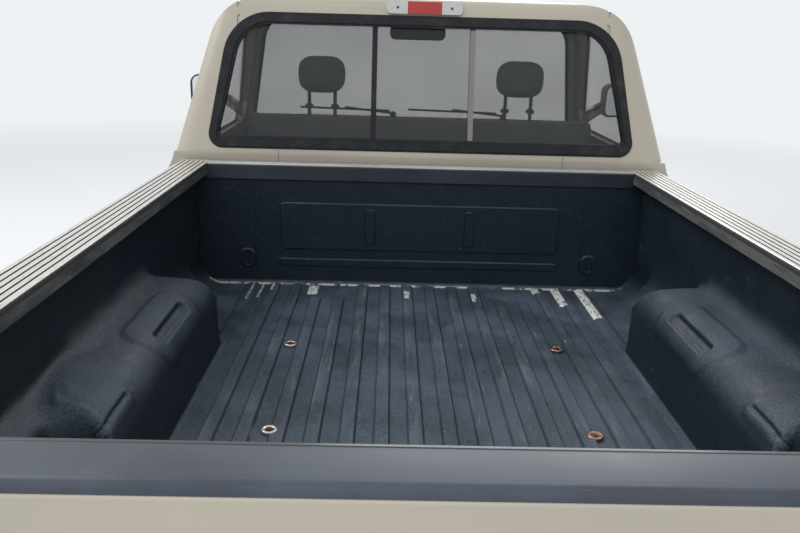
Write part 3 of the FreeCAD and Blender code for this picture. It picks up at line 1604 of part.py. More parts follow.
def inner_mirror():
    """Rear-view mirror on the stem from the windshield."""
    y, z = HEADER_Y, ROOF_Z - INNER_MIRROR_DOWN
    corners = [(INNER_MIRROR_HALF, z, 25), (INNER_MIRROR_HALF, z + INNER_MIRROR_TALL, 25)]
    head = prism("y", y - INNER_MIRROR_DEEP, y, mirrored(corners))
    top = z + INNER_MIRROR_TALL + 10
    stem = rod((0, y - 5, z + 50), (0, screen_y(top, GLASS_THICK + 4), top), INNER_MIRROR_STEM_R)
    return fuse([head, stem])


# Wheels: name, side, axle
WHEEL_PLACES = (
    ("front_left", -1, FRONT_AXLE_Y),
    ("front_right", 1, FRONT_AXLE_Y),
    ("rear_left", -1, REAR_AXLE_Y),
    ("rear_right", 1, REAR_AXLE_Y),
)


def build():
    outer, core = cab_solid(), cab_core()
    nose = nose_solid(0.0)
    nose_inside = nose_solid(SHEET)
    shell = cut(nose, nose_inside)
    nodes = {}

    # Chassis
    rails = both(frame_rail())
    nodes["ladder_frame"] = fuse(rails + crossmembers(rails))
    engine_shape = engine()
    axle = rear_axle()
    shaft = drive_shaft(engine_shape, axle)
    nodes["rear_axle"] = Part.Compound([fuse([axle, shaft])] + both(leaf_spring()))
    nodes["front_suspension"] = Part.Compound(both(front_arms()))
    nodes["engine_block"] = engine_shape
    nodes["exhaust"] = cut(exhaust(), engine_shape)
    nodes["fuel_tank"] = fuel_tank()
    nodes["spare_wheel"] = spare_wheel()

    # Wheels
    right_tyre, right_rim, right_knuckle = tyre(), rim(), knuckle()
    for name, side, y in WHEEL_PLACES:
        nodes["tyre_" + name] = at_wheel(right_tyre, side, y)
        nodes["rim_" + name] = at_wheel(right_rim, side, y)
    for name, side in (("left", -1), ("right", 1)):
        nodes["knuckle_" + name] = at_wheel(right_knuckle, side, FRONT_AXLE_Y)

    # Cab
    ahead = box(0, FAR, NOSE[0][0], FAR, 0, NOSE[0][2])
    side = cut(outer, core, door_space(SHUT_GAP), ahead, nose)
    roof_cut = box(-FAR, FAR, -FAR, FAR, ROOF_SPLIT_Z, FAR)
    side = cut(side, roof_cut).common(box(0, FAR, -FAR, FAR, 0, FAR))
    hinge_pillar = box(
        DOOR_INNER_X - 30, FAR, NOSE[0][0], NOSE[0][0] + 40, ROCKER_Z + 20, COWL_Z - 40,
    ).common(nose_inside)
    rocker = fuse([
        box(SILL_X, DOOR_INNER_X - SHUT_GAP, CAB_REAR_Y, NOSE[0][0] + 40, ROCKER_Z, CAB_FLOOR_Z),
        box(SILL_X, DOOR_INNER_X + 1, CAB_REAR_Y, NOSE[0][0] + 40, ROCKER_Z, DOOR_BOTTOM_Z - SHUT_GAP),
    ])
    side = fuse([side, hinge_pillar, rocker] + [door_hinge(z) for z in DOOR_HINGES_Z])
    nodes["cab_sides"] = Part.Compound(both(side))
    roof = cut(outer.common(roof_cut), core)
    inside_roof = outer.common(roof_cut).common(core)
    lamp = third_lamp()
    header = inside_roof.common(fuse([back_slab(0, BACK_THICK), screen_slab(-1, 60)]))
    ditches = roof_ditches(outer)
    nodes["roof_panel"] = cut(fuse([roof, header]), lamp, *ditches)
    back = outer.common(core).common(back_slab(-1, BACK_THICK))
    back = cut(
        back,
        roof_cut,
        rear_opening(0),
        box(-FAR, FAR, -FAR, FAR, 0, CAB_PAN_Z),
        lamp,
        side,
        left_of(side),
    )
    back = cut(back, *back_seams(), *ditches)
    nodes["cab_back_panel"] = back
    dash_y = COWL_Y - 117.0
    floor = box(-SILL_X, SILL_X, CAB_REAR_Y + BACK_THICK, dash_y, CAB_PAN_Z, CAB_FLOOR_Z)
    wall = box(-840, 840, dash_y, dash_y + SHEET, CAB_PAN_Z, COWL_Z - 28)
    cowl = box(-840, 840, dash_y, COWL_Y - 2, COWL_Z - 46, COWL_Z - 28)
    nodes["cab_floor"] = cut(fuse([floor, wall, cowl]), hinge_pillar, left_of(hinge_pillar), shell)
    glass = outer.common(core).common(screen_slab(0, GLASS_THICK + 1))
    nodes["windshield"] = cut(
        glass, roof_cut, box(-FAR, FAR, -FAR, FAR, 0, COWL_Z), nose, nodes["roof_panel"],
    )
    nodes["rear_window_seal"] = cut(rear_seal(), roof_cut)
    pane = rear_opening(SEAL_WIDTH).common(back_slab(8, 8 + GLASS_THICK))
    nodes["rear_window_glass"] = cut(pane, nodes["rear_window_seal"])
    nodes["bench_seat"] = bench_seat()
    nodes["dashboard"] = dashboard()
    nodes["steering_wheel"] = steering_wheel(nodes["dashboard"])
    nodes["interior_mirror"] = cut(inner_mirror(), nodes["windshield"], nodes["roof_panel"])

    # Front end
    lamp_right = headlamp(nose)
    front = grille()
    bumper = front_bumper()
    wing = cut(
        fender(shell), lamp_right, bumper, front, hinge_pillar, *[door_hinge(z) for z in DOOR_HINGES_Z],
    )
    nodes["fenders"] = Part.Compound(both(wing))
    lid = shell.common(hood_space(0))
    nodes["hood"] = cut(lid, *both(hood_pin(RUNNING_GAP)))
    nodes["headlamps"] = Part.Compound(both(cut(lamp_right, front)))
    nodes["grille"] = front
    nodes["front_bumper"] = bumper

    # Doors
    door = right_door(outer, core)
    door = cut(door, nose)
    pane = door_glass()
    mirror = door_mirror(door)
    door = fuse([door, mirror])
    pane = cut(pane, door)
    for name, make in (("right", right_of), ("left", left_of)):
        nodes["door_" + name] = make(door)
        nodes["door_glass_" + name] = make(pane)

    # Load bed
    flank = bed_side()
    lamp_piece = tail_lamp(flank)
    flank = cut(
        flank,
        lamp_piece,
        rod(
            (0, GATE_PIN_Y, GATE_PIN_Z), (GATE_HALF + 24, GATE_PIN_Y, GATE_PIN_Z), GATE_PIN_R + PIN_GAP,
        ),
    )
    left_flank = left_of(flank)
    nodes["bed_sides"] = Part.Compound([flank, cut(left_flank, fuel_door_seam(left_flank))])
    nodes["rear_lamps"] = Part.Compound(both(lamp_piece) + [lamp])
    nodes["bed_front_wall"] = bed_front_wall()
    nodes["bed_floor"] = bed_floor()
    nodes["bed_liner"] = bed_liner()
    nodes["tailgate"] = tailgate()
    nodes["tailgate_cap"] = tailgate_cap()
    nodes["rear_bumper"] = rear_bumper()
    return nodes


os.makedirs("parts", exist_ok=True)
for node, shape in build().items():
    shape.exportStep("parts/" + node + ".step")
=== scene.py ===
import math

import bmesh
import bpy
import numpy as np
from mathutils import Matrix, Vector, noise
from mathutils.bvhtree import BVHTree

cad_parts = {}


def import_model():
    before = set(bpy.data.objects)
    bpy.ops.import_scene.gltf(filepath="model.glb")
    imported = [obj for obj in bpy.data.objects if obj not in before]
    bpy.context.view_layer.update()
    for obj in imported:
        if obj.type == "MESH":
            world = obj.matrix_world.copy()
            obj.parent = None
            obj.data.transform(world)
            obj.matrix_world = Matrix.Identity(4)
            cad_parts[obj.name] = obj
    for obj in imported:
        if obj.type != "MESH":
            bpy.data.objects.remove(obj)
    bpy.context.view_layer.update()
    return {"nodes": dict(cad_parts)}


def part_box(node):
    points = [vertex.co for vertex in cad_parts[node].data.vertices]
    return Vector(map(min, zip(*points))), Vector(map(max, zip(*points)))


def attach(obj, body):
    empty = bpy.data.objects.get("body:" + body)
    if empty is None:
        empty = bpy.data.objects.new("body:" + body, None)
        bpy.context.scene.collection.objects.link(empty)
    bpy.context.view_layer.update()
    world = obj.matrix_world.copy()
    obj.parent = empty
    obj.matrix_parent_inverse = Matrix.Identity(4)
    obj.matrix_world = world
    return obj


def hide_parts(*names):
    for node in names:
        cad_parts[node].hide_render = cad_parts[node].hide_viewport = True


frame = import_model()
nodes = frame["nodes"]
SIDES = (1, -1)
NAMED_SIDES = ((-1, "left"), (1, "right"))
UP = (0, 0, 1)
CORNERS = ("front_left", "front_right", "rear_left", "rear_right")


# Places read from the frame, in metres
LINER_LOW, LINER_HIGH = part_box("bed_liner")
CAP_LOW, CAP_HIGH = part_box("bed_front_wall")
RAIL_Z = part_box("bed_sides")[1].z
BULKHEAD_Y = CAP_LOW.y
GATE_REAR_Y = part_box("tailgate")[0].y
TYRE_LOW, TYRE_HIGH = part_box("tyre_front_right")
TYRE_RADIUS = (TYRE_HIGH.z - TYRE_LOW.z) / 2
TYRE_HALF = (TYRE_HIGH.x - TYRE_LOW.x) / 2
SEAT_LOW, SEAT_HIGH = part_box("bench_seat")

# Liner: sheet thickness, floor, worn top of the ribs, and the floor and ribs that the draped sides meet
LINER_SHEET = 0.006
FLOOR_Z = LINER_LOW.z + LINER_SHEET
RIB_TOP = FLOOR_Z + 0.007
LINER_FLOOR_Z = 0.815
RIB_RISE = 0.009


# Camera, at the photograph's place and angle over the tailgate
CAMERA_PLACE = (-0.1193, BULKHEAD_Y - 2.758, RAIL_Z + 0.4636)
CAMERA_YAW = 0.0188
CAMERA_PITCH = 0.2933
CAMERA_ROLL = 0.0282
CAMERA_LENS = 34.94
CAMERA_SENSOR = 36.0


def make_camera():
    ahead = Vector((
        math.sin(CAMERA_YAW) * math.cos(CAMERA_PITCH),
        math.cos(CAMERA_YAW) * math.cos(CAMERA_PITCH),
        -math.sin(CAMERA_PITCH),
    ))
    level = Vector((math.cos(CAMERA_YAW), -math.sin(CAMERA_YAW), 0))
    upright = level.cross(ahead)
    right = math.cos(CAMERA_ROLL) * level + math.sin(CAMERA_ROLL) * upright
    up = -math.sin(CAMERA_ROLL) * level + math.cos(CAMERA_ROLL) * upright
    data = bpy.data.cameras.new("camera")
    data.lens = CAMERA_LENS
    data.sensor_width = CAMERA_SENSOR
    data.clip_start = 0.02
    data.clip_end = 200
    camera = bpy.data.objects.new("camera", data)
    turn = Matrix((right, up, -ahead)).transposed()
    camera.matrix_world = Matrix.Translation(CAMERA_PLACE) @ turn.to_4x4()
    bpy.context.scene.collection.objects.link(camera)
    bpy.context.scene.camera = camera


class Graph:
    """A material, with short calls for the nodes that its colour, roughness and bump are made of."""

    def __init__(self, name, base=(0.5, 0.5, 0.5), rough=0.5, metal=0.0, **sockets):
        self.material = bpy.data.materials.new(name)
        self.material.use_nodes = True
        self.tree = self.material.node_tree
        self.shader = self.tree.nodes["Principled BSDF"]
        self.set("Base Color", (*base, 1))
        self.set("Roughness", rough)
        self.set("Metallic", metal)
        for socket, value in sockets.items():
            self.set(socket.replace("_", " "), value)

    def set(self, socket, value):
        """Gives a shader socket a value, or joins it to a node's output."""
        if isinstance(value, bpy.types.NodeSocket):
            self.tree.links.new(value, self.shader.inputs[socket])
        else:
            self.shader.inputs[socket].default_value = value

    def feed(self, socket, value):
        if isinstance(value, bpy.types.NodeSocket):
            self.tree.links.new(value, socket)
        elif isinstance(value, tuple) and len(value) == 3 and socket.type == "RGBA":
            socket.default_value = (*value, 1)
        else:
            socket.default_value = value

    def place(self, stretch=(1, 1, 1)):
        """Position in the row frame, in metres, stretched along each axis."""
        coords = self.tree.nodes.new("ShaderNodeTexCoord")
        mapping = self.tree.nodes.new("ShaderNodeMapping")
        mapping.inputs["Scale"].default_value = stretch
        self.tree.links.new(coords.outputs["Object"], mapping.inputs["Vector"])
        return mapping.outputs["Vector"]

    def part(self, vector, name):
        split = self.tree.nodes.new("ShaderNodeSeparateXYZ")
        self.tree.links.new(vector, split.inputs[0])
        return split.outputs[name]

    def axis(self, name):
        return self.part(self.place(), name)

    def beside(self):
        """Distance to either side of the truck's middle."""
        return self.math("ABSOLUTE", self.axis("X"))

    def normal(self, name):
        """One part of the surface's own direction."""
        coords = self.tree.nodes.new("ShaderNodeTexCoord")
        return self.part(coords.outputs["Normal"], name)

    def inward(self):
        """1 where a side panel faces the truck's middle."""
        side = self.math("SIGN", self.axis("X"))
        return self.ramp(self.both(side, self.normal("X")), -0.55, -0.75)

    def texture(self, kind, stretch=(1, 1, 1), **inputs):
        node = self.tree.nodes.new("ShaderNodeTex" + kind)
        for name, value in inputs.items():
            node.inputs[name].default_value = value
        self.tree.links.new(self.place(stretch), node.inputs["Vector"])
        return node

    def noise(self, scale, detail=4.0, rough=0.55, stretch=(1, 1, 1), twist=0.0):
        inputs = {"Scale": scale, "Detail": detail, "Roughness": rough, "Distortion": twist}
        return self.texture("Noise", stretch, **inputs).outputs["Fac"]

    def spots(self, low, high, *noise, **more):
        """Patches of noise, coming in from low to high."""
        return self.ramp(self.noise(*noise, **more), low, high)

    def cells(self, scale):
        return self.texture("Voronoi", Scale=scale).outputs["Distance"]

    def waves(self, scale, direction):
        node = self.texture("Wave", Scale=scale)
        node.bands_direction = direction
        return node.outputs["Fac"]

    def lattice(self, scale, one, other):
        """Raised squares where two sets of waves cross."""
        return self.both(self.waves(scale, one), self.waves(scale, other))

    def math(self, operation, a, b=0.0, c=0.0):
        node = self.tree.nodes.new("ShaderNodeMath")
        node.operation = operation
        for socket, value in zip(node.inputs, (a, b, c)):
            self.feed(socket, value)
        return node.outputs[0]

    def ramp(self, value, low, high, start=0.0, end=1.0):
        """Value from low to high mapped smoothly to start to end."""
        node = self.tree.nodes.new("ShaderNodeMapRange")
        node.interpolation_type = "SMOOTHSTEP"
        names = ("From Min", "From Max", "To Min", "To Max")
        self.feed(node.inputs["Value"], value)
        for name, number in zip(names, (low, high, start, end)):
            self.feed(node.inputs[name], number)
        return node.outputs["Result"]

    def band(self, value, low, high, soft=0.002):
        """1 where the value lies between low and high."""
        up = self.ramp(value, low - soft, low + soft)
        down = self.ramp(value, high - soft, high + soft, 1.0, 0.0)
        return self.both(up, down)

    def both(self, *values):
        """Product of shares: 1 only where all are."""
        out = values[0]
        for value in values[1:]:
            out = self.math("MULTIPLY", out, value)
        return out

    def either(self, *values):
        out = values[0]
        for value in values[1:]:
            out = self.math("MAXIMUM", out, value)
        return out

    def other(self, share):
        """1 where the share is 0, and 0 where it is 1."""
        return self.math("SUBTRACT", 1.0, share)

    def length(self, a, b):
        return self.math("SQRT", self.math("ADD", self.both(a, a), self.both(b, b)))

    def mix(self, share, a, b):
        node = self.tree.nodes.new("ShaderNodeMix")
        node.data_type = "RGBA"
        self.feed(node.inputs[0], share)
        self.feed(node.inputs[6], a)
        self.feed(node.inputs[7], b)
        return node.outputs[2]

    def layers(self, colour, *rows):
        """Lays further colours over a first one; a row is a share, its strength and the colour."""
        for share, strength, tone in rows:
            where = share if strength is None else self.both(share, strength)
            colour = self.mix(where, colour, tone)
        return colour

    def bump(self, height, strength=0.3, distance=0.001, under=None):
        node = self.tree.nodes.new("ShaderNodeBump")
        node.inputs["Strength"].default_value = strength
        node.inputs["Distance"].default_value = distance
        self.feed(node.inputs["Height"], height)
        if under is not None:
            self.tree.links.new(under, node.inputs["Normal"])
        self.set("Normal", node.outputs["Normal"])
        return node.outputs["Normal"]

    def patch(self, x0, x1, y0, y1, soft=0.004):
        """Upright box of space, seen from above, with soft edges."""
        return self.both(
            self.band(self.axis("X"), x0, x1, soft), self.band(self.axis("Y"), y0, y1, soft),
        )


# Colours, linear
CHAMPAGNE = (0.375, 0.335, 0.260)
CHAMPAGNE_DUSTY = (0.335, 0.300, 0.240)
RAIL_PALE = (0.66, 0.645, 0.60)
TRIM_GREY = (0.11, 0.11, 0.11)
TRIM_DARK = (0.035, 0.035, 0.037)
UNDERSEAL = (0.03, 0.03, 0.03)
DUST = (0.30, 0.28, 0.24)
NAVY = (0.0035, 0.0085, 0.0140)
# Paler navy for the liner's painted sky sheen
NAVY_SHEEN = (0.048, 0.068, 0.096)
SCUFF = (0.17, 0.185, 0.20)
CHALK = (0.62, 0.62, 0.58)
RUST = (0.20, 0.07, 0.03)
BLACK = (0.012, 0.012, 0.013)
RUBBER = (0.02, 0.02, 0.021)
RUBBER_CLEAN = (0.018, 0.018, 0.019)
RUBBER_DUSTY = (0.085, 0.078, 0.068)
SEAL = (0.010, 0.011, 0.013)


def body_paint(name, inside, hidden):
    """Champagne metallic under clear coat, dusty low down, with painted shade darkening the rail's
    grooves.

    hidden takes the graph and returns where the panel faces inwards; inside is its colour there.
    """
    g = Graph(name, CHAMPAGNE, rough=0.38, metal=0.25, Coat_Weight=0.35, Coat_Roughness=0.12)
    flake = g.noise(2600, 2, 0.7)
    broad = g.noise(2.2, 4)
    dirt = g.spots(0.42, 0.75, 9, 6, 0.62)
    low = g.ramp(g.axis("Z"), 0.45, 0.80, 0.85, 0.0)
    bed_only = g.ramp(g.axis("Y"), BULKHEAD_Y + 0.07, BULKHEAD_Y + 0.06)
    rail_top = g.both(g.band(g.axis("Z"), RAIL_Z - 0.008, RAIL_Z + 0.01, 0.0008), bed_only)
    # Painted shade: the rail's cut grooves are painted near black.
    groove = g.both(
        g.band(g.axis("Z"), RAIL_Z - 0.0075, RAIL_Z - 0.0012, 0.0006),
        g.ramp(g.normal("Z"), -0.2, 0.2),
        bed_only,
    )
    grime = g.both(rail_top, g.spots(0.45, 0.7, 30, 8, 0.7, stretch=(4, 1, 1)))
    where = hidden(g)
    grain = g.ramp(g.noise(240, 5, 0.7), 0.35, 0.65, 0.0, 0.25)
    colour = g.layers(
        g.mix(g.ramp(broad, 0.3, 0.7), CHAMPAGNE, CHAMPAGNE_DUSTY),
        (flake, 0.12, (0.8, 0.76, 0.68)),
        (dirt, low, DUST),
        (rail_top, 0.55, RAIL_PALE),
        (grime, 0.45, (0.16, 0.15, 0.14)),
        # painted shade in the rail's grooves
        (groove, None, (0.03, 0.03, 0.032)),
        (where, None, g.mix(grain, inside, tuple(c * 1.6 for c in inside))),
    )
    rough = g.math("ADD", g.ramp(broad, 0.3, 0.7, 0.30, 0.40), g.both(low, 0.3))
    g.set("Metallic", g.both(g.other(where), 0.25))
    g.set("Coat Weight", g.both(g.other(where), 0.35))
    g.set("Base Color", colour)
    g.set("Roughness", g.either(rough, g.both(where, 0.75)))
    g.bump(flake, 0.05, 0.0002)
    return g.material


# Mirror housings: outside and above these they are black plastic
HOUSING_X = 0.905
HOUSING_Z = 1.272
# Handle on the tailgate
HANDLE_HALF = 0.095
HANDLE_LOW = 1.085
HANDLE_HIGH = 1.140


def door_inside(g):
    """A door's inner face, and its mirror housing."""
    x_abs = g.beside()
    housing = g.both(
        g.ramp(x_abs, HOUSING_X, HOUSING_X + 0.004), g.ramp(g.axis("Z"), HOUSING_Z, HOUSING_Z + 0.003),
    )
    return g.either(g.inward(), housing)


# Where the cab's inner faces lie: under the roof, behind the window, over the sills
CEILING_Z = 1.5
BACK_INSIDE_Y = 0.09
SILL_TOP_Z = 0.75


def cab_inside(g):
    """Inner faces of the cab: sides, headliner and the back panel."""
    ceiling = g.both(
        g.ramp(g.normal("Z"), -0.4, -0.6), g.ramp(g.axis("Z"), CEILING_Z, CEILING_Z + 0.02),
    )
    back = g.both(
        g.ramp(g.normal("Y"), 0.6, 0.8), g.ramp(g.axis("Y"), BACK_INSIDE_Y + 0.01, BACK_INSIDE_Y),
    )
    floor = g.both(g.ramp(g.normal("Z"), 0.6, 0.8), g.ramp(g.axis("Z"), SILL_TOP_Z, SILL_TOP_Z - 0.05))
    return g.either(g.inward(), ceiling, back, floor)


def gate_handle(g):
    """Black plastic handle on the tailgate's outer face."""
    across = g.ramp(g.beside(), HANDLE_HALF + 0.001, HANDLE_HALF)
    face = g.ramp(g.axis("Y"), GATE_REAR_Y + 0.010, GATE_REAR_Y + 0.008)
    return g.both(across, g.band(g.axis("Z"), HANDLE_LOW, HANDLE_HIGH, 0.0005), face)


# Worn marks on the liner's floor: x range, range back from the front wall, strength
WORN_MARKS = (
    (0.494, 0.521, 0.005, 0.196, 1.0),
    (0.583, 0.612, 0.005, 0.319, 1.0),
    (-0.536, -0.526, 0.005, 0.10, 0.7),
    (-0.575, -0.566, 0.005, 0.16, 0.6),
    (-0.608, -0.600, 0.01, 0.20, 0.6),
    (-0.40, -0.365, 0.02, 0.12, 0.9),
    (0.188, 0.204, 0.10, 0.18, 0.8),
    (-0.052, -0.034, 0.08, 0.16, 0.8),
    (0.42, 0.445, 0.02, 0.07, 0.8),
)


# Lower edge of the liner's lip under the rail
LIP_FROM = LINER_HIGH.z - 0.027
# Upright creases of the front wall, drawn only as lines of painted shade
WALL_CREASE_X = 0.60


def liner_plastic():
    """Moulded navy liner: coarse grain, painted sky sheen on faces that look up, painted glints on the
    walls and humps, painted shade in the front wall's creases, scuffs along the ribs and worn streaks.
    """
    g = Graph("liner_plastic", NAVY, rough=0.5, Specular_IOR_Level=0.32)
    up = g.ramp(g.normal("Z"), 0.15, 0.95)
    y_back = g.math("SUBTRACT", BULKHEAD_Y, g.axis("Y"))
    cloud = g.noise(5.5, 6, 0.6, twist=0.4)
    streak = g.noise(24, 7, 0.68, stretch=(1.6, 0.16, 1))
    fine_streak = g.noise(60, 6, 0.7, stretch=(2.4, 0.10, 1))
    floor = g.band(g.axis("Z"), FLOOR_Z - 0.01, RIB_TOP + 0.01, 0.003)
    rib = g.band(g.axis("Z"), RIB_TOP - 0.0012, RIB_TOP + 0.002, 0.0008)
    above = g.other(floor)
    # Painted sky sheen: faces that look up are painted a paler navy, less on the walls.
    film_and_sheen = g.both(up, g.ramp(cloud, 0.30, 0.72, 0.30, 1.0))
    film_and_sheen = g.both(film_and_sheen, g.other(g.both(above, 0.45)))
    rub = g.both(floor, rib, g.ramp(streak, 0.48, 0.74))
    scratch = g.both(floor, g.ramp(fine_streak, 0.665, 0.72))
    scuff = g.spots(0.60, 0.78, 38, 8, 0.72, stretch=(1, 0.5, 1.2), twist=0.8)
    mottle = g.spots(0.46, 0.62, 260, 4, 0.8)
    chip = g.spots(0.685, 0.72, 130, 5, 0.78, stretch=(1.6, 0.3, 1))
    # Painted glints: pale specks on the walls and humps stand for the sun glinting on the pebbled grain.
    glint_specks = g.spots(0.70, 0.76, 210, 5, 0.8)
    lip = g.ramp(g.axis("Z"), LIP_FROM - 0.001, LIP_FROM)
    dust = g.both(above, up, g.spots(0.52, 0.72, 7, 6, 0.7))
    # Painted sky sheen on the grain: its paler bluish specks are painted only on faces that look up.
    grain_sheen = g.spots(0.35, 0.70, 170, 5, 0.75)
    chipped = g.spots(0.40, 0.50, 70, 6, 0.75, stretch=(1, 0.45, 1))
    marks = []
    for x0, x1, y0, y1, strength in WORN_MARKS:
        spot = g.patch(x0, x1, BULKHEAD_Y - y1, BULKHEAD_Y - y0, 0.0015)
        marks.append((g.both(spot, floor, chipped), strength, CHALK))
    foot = g.both(
        g.ramp(y_back, 0.020, 0.010),
        g.ramp(y_back, -0.004, 0.004),
        g.band(g.axis("Z"), FLOOR_Z - 0.01, FLOOR_Z + 0.02, 0.004),
    )
    chalk_line = g.both(foot, g.spots(0.45, 0.52, 14, 5, 0.7, stretch=(1, 0.2, 1)))
    wall_top = g.ramp(g.axis("Z"), RIB_TOP + 0.03, RIB_TOP + 0.05)
    front_wall = g.both(above, g.ramp(y_back, 0.013, 0.011), wall_top)
    # Painted shade: near-black upright lines on the front wall stand for the shade in its creases.
    crease_shade = g.band(g.beside(), WALL_CREASE_X - 0.0015, WALL_CREASE_X + 0.0015, 0.001)
    colour = g.layers(
        g.mix(film_and_sheen, NAVY, NAVY_SHEEN),
        (rub, 0.50, SCUFF),
        (scratch, 0.6, CHALK),
        (g.both(above, scuff), 0.30, SCUFF),
        (g.both(above, mottle), 0.20, (0.060, 0.090, 0.130)),
        (g.both(floor, chip), 0.55, CHALK),
        (g.both(above, glint_specks), 0.45, CHALK),
        (lip, None, g.mix(g.ramp(streak, 0.4, 0.6), (0.060, 0.064, 0.066), (0.12, 0.12, 0.115))),
        (dust, 0.22, (0.20, 0.20, 0.19)),
        (g.both(grain_sheen, up), 0.38, (0.135, 0.150, 0.170)),
        *marks,
        (chalk_line, 0.85, CHALK),
        (g.both(front_wall, crease_shade), 0.6, (0.001, 0.002, 0.004)),
    )
    g.set("Base Color", colour)
    g.set("Roughness", g.ramp(cloud, 0.3, 0.75, 0.40, 0.60))
    pebble = g.bump(g.noise(240, 3, 0.6), 0.8, 0.0022)
    g.bump(g.noise(16, 5, 0.5), 0.25, 0.006, pebble)
    return g.material


def cap_plastic():
    """Satin dark grey cap of the tailgate, scuffed along its length."""
    g = Graph("cap_plastic", (0.035, 0.038, 0.046), rough=0.42, Specular_IOR_Level=0.45)
    scuff = g.noise(45, 8, 0.72, stretch=(0.35, 2.2, 1), twist=0.5)
    haze = g.noise(4, 5, 0.6)
    colour = g.mix(g.ramp(haze, 0.3, 0.75), (0.026, 0.032, 0.044), (0.048, 0.058, 0.078))
    colour = g.mix(g.ramp(scuff, 0.62, 0.80, 0.0, 0.5), colour, (0.24, 0.24, 0.24))
    g.set("Base Color", colour)
    g.set("Roughness", g.ramp(haze, 0.3, 0.75, 0.34, 0.5))
    g.bump(g.noise(900, 3, 0.6), 0.12, 0.0004)
    return g.material


# Bright divider of the rear window, and the seal's width round the glass
DIVIDER_X = 0.18
DIVIDER_WIDE = 0.012
SEAL_EDGE = 0.045


def window_seal():
    g = Graph("window_seal", SEAL, rough=0.6, Specular_IOR_Level=0.3)
    low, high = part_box("rear_window_seal")
    inside = g.band(g.axis("Z"), low.z + SEAL_EDGE, high.z - SEAL_EDGE, 0.003)
    bright = g.both(
        g.band(g.axis("X"), DIVIDER_X - DIVIDER_WIDE, DIVIDER_X + DIVIDER_WIDE, 0.002), inside,
    )
    dust = g.spots(0.45, 0.8, 22, 7, 0.65)
    colour = g.mix(g.both(dust, 0.25), SEAL, (0.08, 0.08, 0.08))
    colour = g.mix(bright, colour, (0.22, 0.21, 0.20))
    g.set("Base Color", colour)
    g.set("Metallic", g.both(bright, 0.8))
    g.set("Roughness", g.math("SUBTRACT", 0.62, g.both(bright, 0.28)))
    g.bump(g.noise(700, 3, 0.6), 0.2, 0.0003)
    return g.material


def glass(name, tint, alpha):
    g = Graph(name, tint, rough=0.0, Specular_IOR_Level=0.6)
    film_and_sheen = g.noise(2.5, 2, 0.4)
    g.set("Alpha", g.ramp(film_and_sheen, 0.2, 0.9, alpha - 0.03, alpha + 0.04))
    return g.material


def chassis_steel():
    g = Graph("chassis_steel", (0.03, 0.028, 0.027), rough=0.7)
    patchy = g.noise(14, 8, 0.7)
    rust = g.ramp(patchy, 0.50, 0.72)
    colour = g.mix(rust, (0.028, 0.027, 0.026), RUST)
    g.set("Base Color", g.mix(g.ramp(g.noise(3, 4), 0.4, 0.8, 0.0, 0.4), colour, DUST))
    g.bump(g.noise(160, 6, 0.7), 0.35, 0.0012)
    return g.material


# Finishes with dirt in patches. dirt: the noise's scale and detail, where it starts and is full.
# rough: clean and dirty roughness. grain: the bump's scale, detail, roughness, strength and depth.
WORN = {
    "engine_metal": {
        "clean": (0.20, 0.20, 0.20),
        "dirty": (0.05, 0.045, 0.04),
        "dirt": (9, 7, 0.4, 0.7),
        "rough": (0.55, 0.55),
        "grain": (300, 5, 0.7, 0.4, 0.001),
        "metal": 0.7,
    },
    "exhaust_steel": {
        "clean": (0.34, 0.32, 0.29),
        "dirty": (0.16, 0.09, 0.05),
        "dirt": (7, 7, 0.42, 0.68),
        "rough": (0.38, 0.75),
        "grain": (200, 5, 0.7, 0.25, 0.0008),
        "metal": 0.85,
    },
    "rim_alloy": {
        "clean": (0.64, 0.65, 0.66),
        "dirty": (0.30, 0.26, 0.22),
        "dirt": (26, 7, 0.45, 0.75),
        "rough": (0.26, 0.6),
        "grain": (400, 4, 0.55, 0.08, 0.0003),
        "metal": 0.9,
    },
    "tyre_rubber": {
        "clean": RUBBER_CLEAN,
        "dirty": RUBBER_DUSTY,
        "dirt": (13, 7, 0.35, 0.75),
        "rough": (0.62, 0.9),
        "grain": (260, 5, 0.7, 0.3, 0.0008),
        "share": 0.6,
    },
    "underbody": {
        "clean": (0.028, 0.030, 0.035),
        "dirty": (0.12, 0.11, 0.10),
        "dirt": (10, 7, 0.4, 0.75),
        "rough": (0.6, 0.6),
        "grain": (150, 5, 0.55, 0.2, 0.0008),
        "share": 0.5,
    },
}
RUST_SPOT = (0.26, 0.10, 0.045)


def worn(name, clean, dirty, dirt, rough, grain, metal=0.0, share=None):
    """A finish of the table above; share is the strength of the dirt."""
    g = Graph(name, clean, rough=rough[0], metal=metal)
    scale, detail, low, high = dirt
    patches = g.spots(low, high, scale, detail, 0.7)
    g.set("Base Color", g.mix(g.both(patches, share) if share else patches, clean, dirty))
    if rough[0] < rough[1]:
        g.set("Roughness", g.ramp(patches, 0, 1, *rough))
    g.bump(g.noise(*grain[:3]), *grain[3:])
    return g.material


def listed(name):
    return worn(name, **WORN[name])


def bolt_steel(name, base, rust_from):
    dirt = (90, 6, rust_from, rust_from + 0.12)
    return worn(name, base, RUST_SPOT, dirt, (0.3, 0.85), (700, 4, 0.55, 0.3, 0.0004), metal=0.9)


def plastic(name, base, rough):
    """Moulded plastic with a leather-like grain."""
    g = Graph(name, base, rough=rough)
    tone = g.spots(0.3, 0.7, 5, 4)
    paler = tuple(min(1.0, c * 1.25 + 0.006) for c in base)
    g.set("Base Color", g.mix(tone, base, paler))
    g.set("Roughness", g.ramp(g.noise(11, 5), 0.3, 0.7, rough - 0.05, rough + 0.08))
    g.bump(g.cells(650), 0.3, 0.0005)
    return g.material


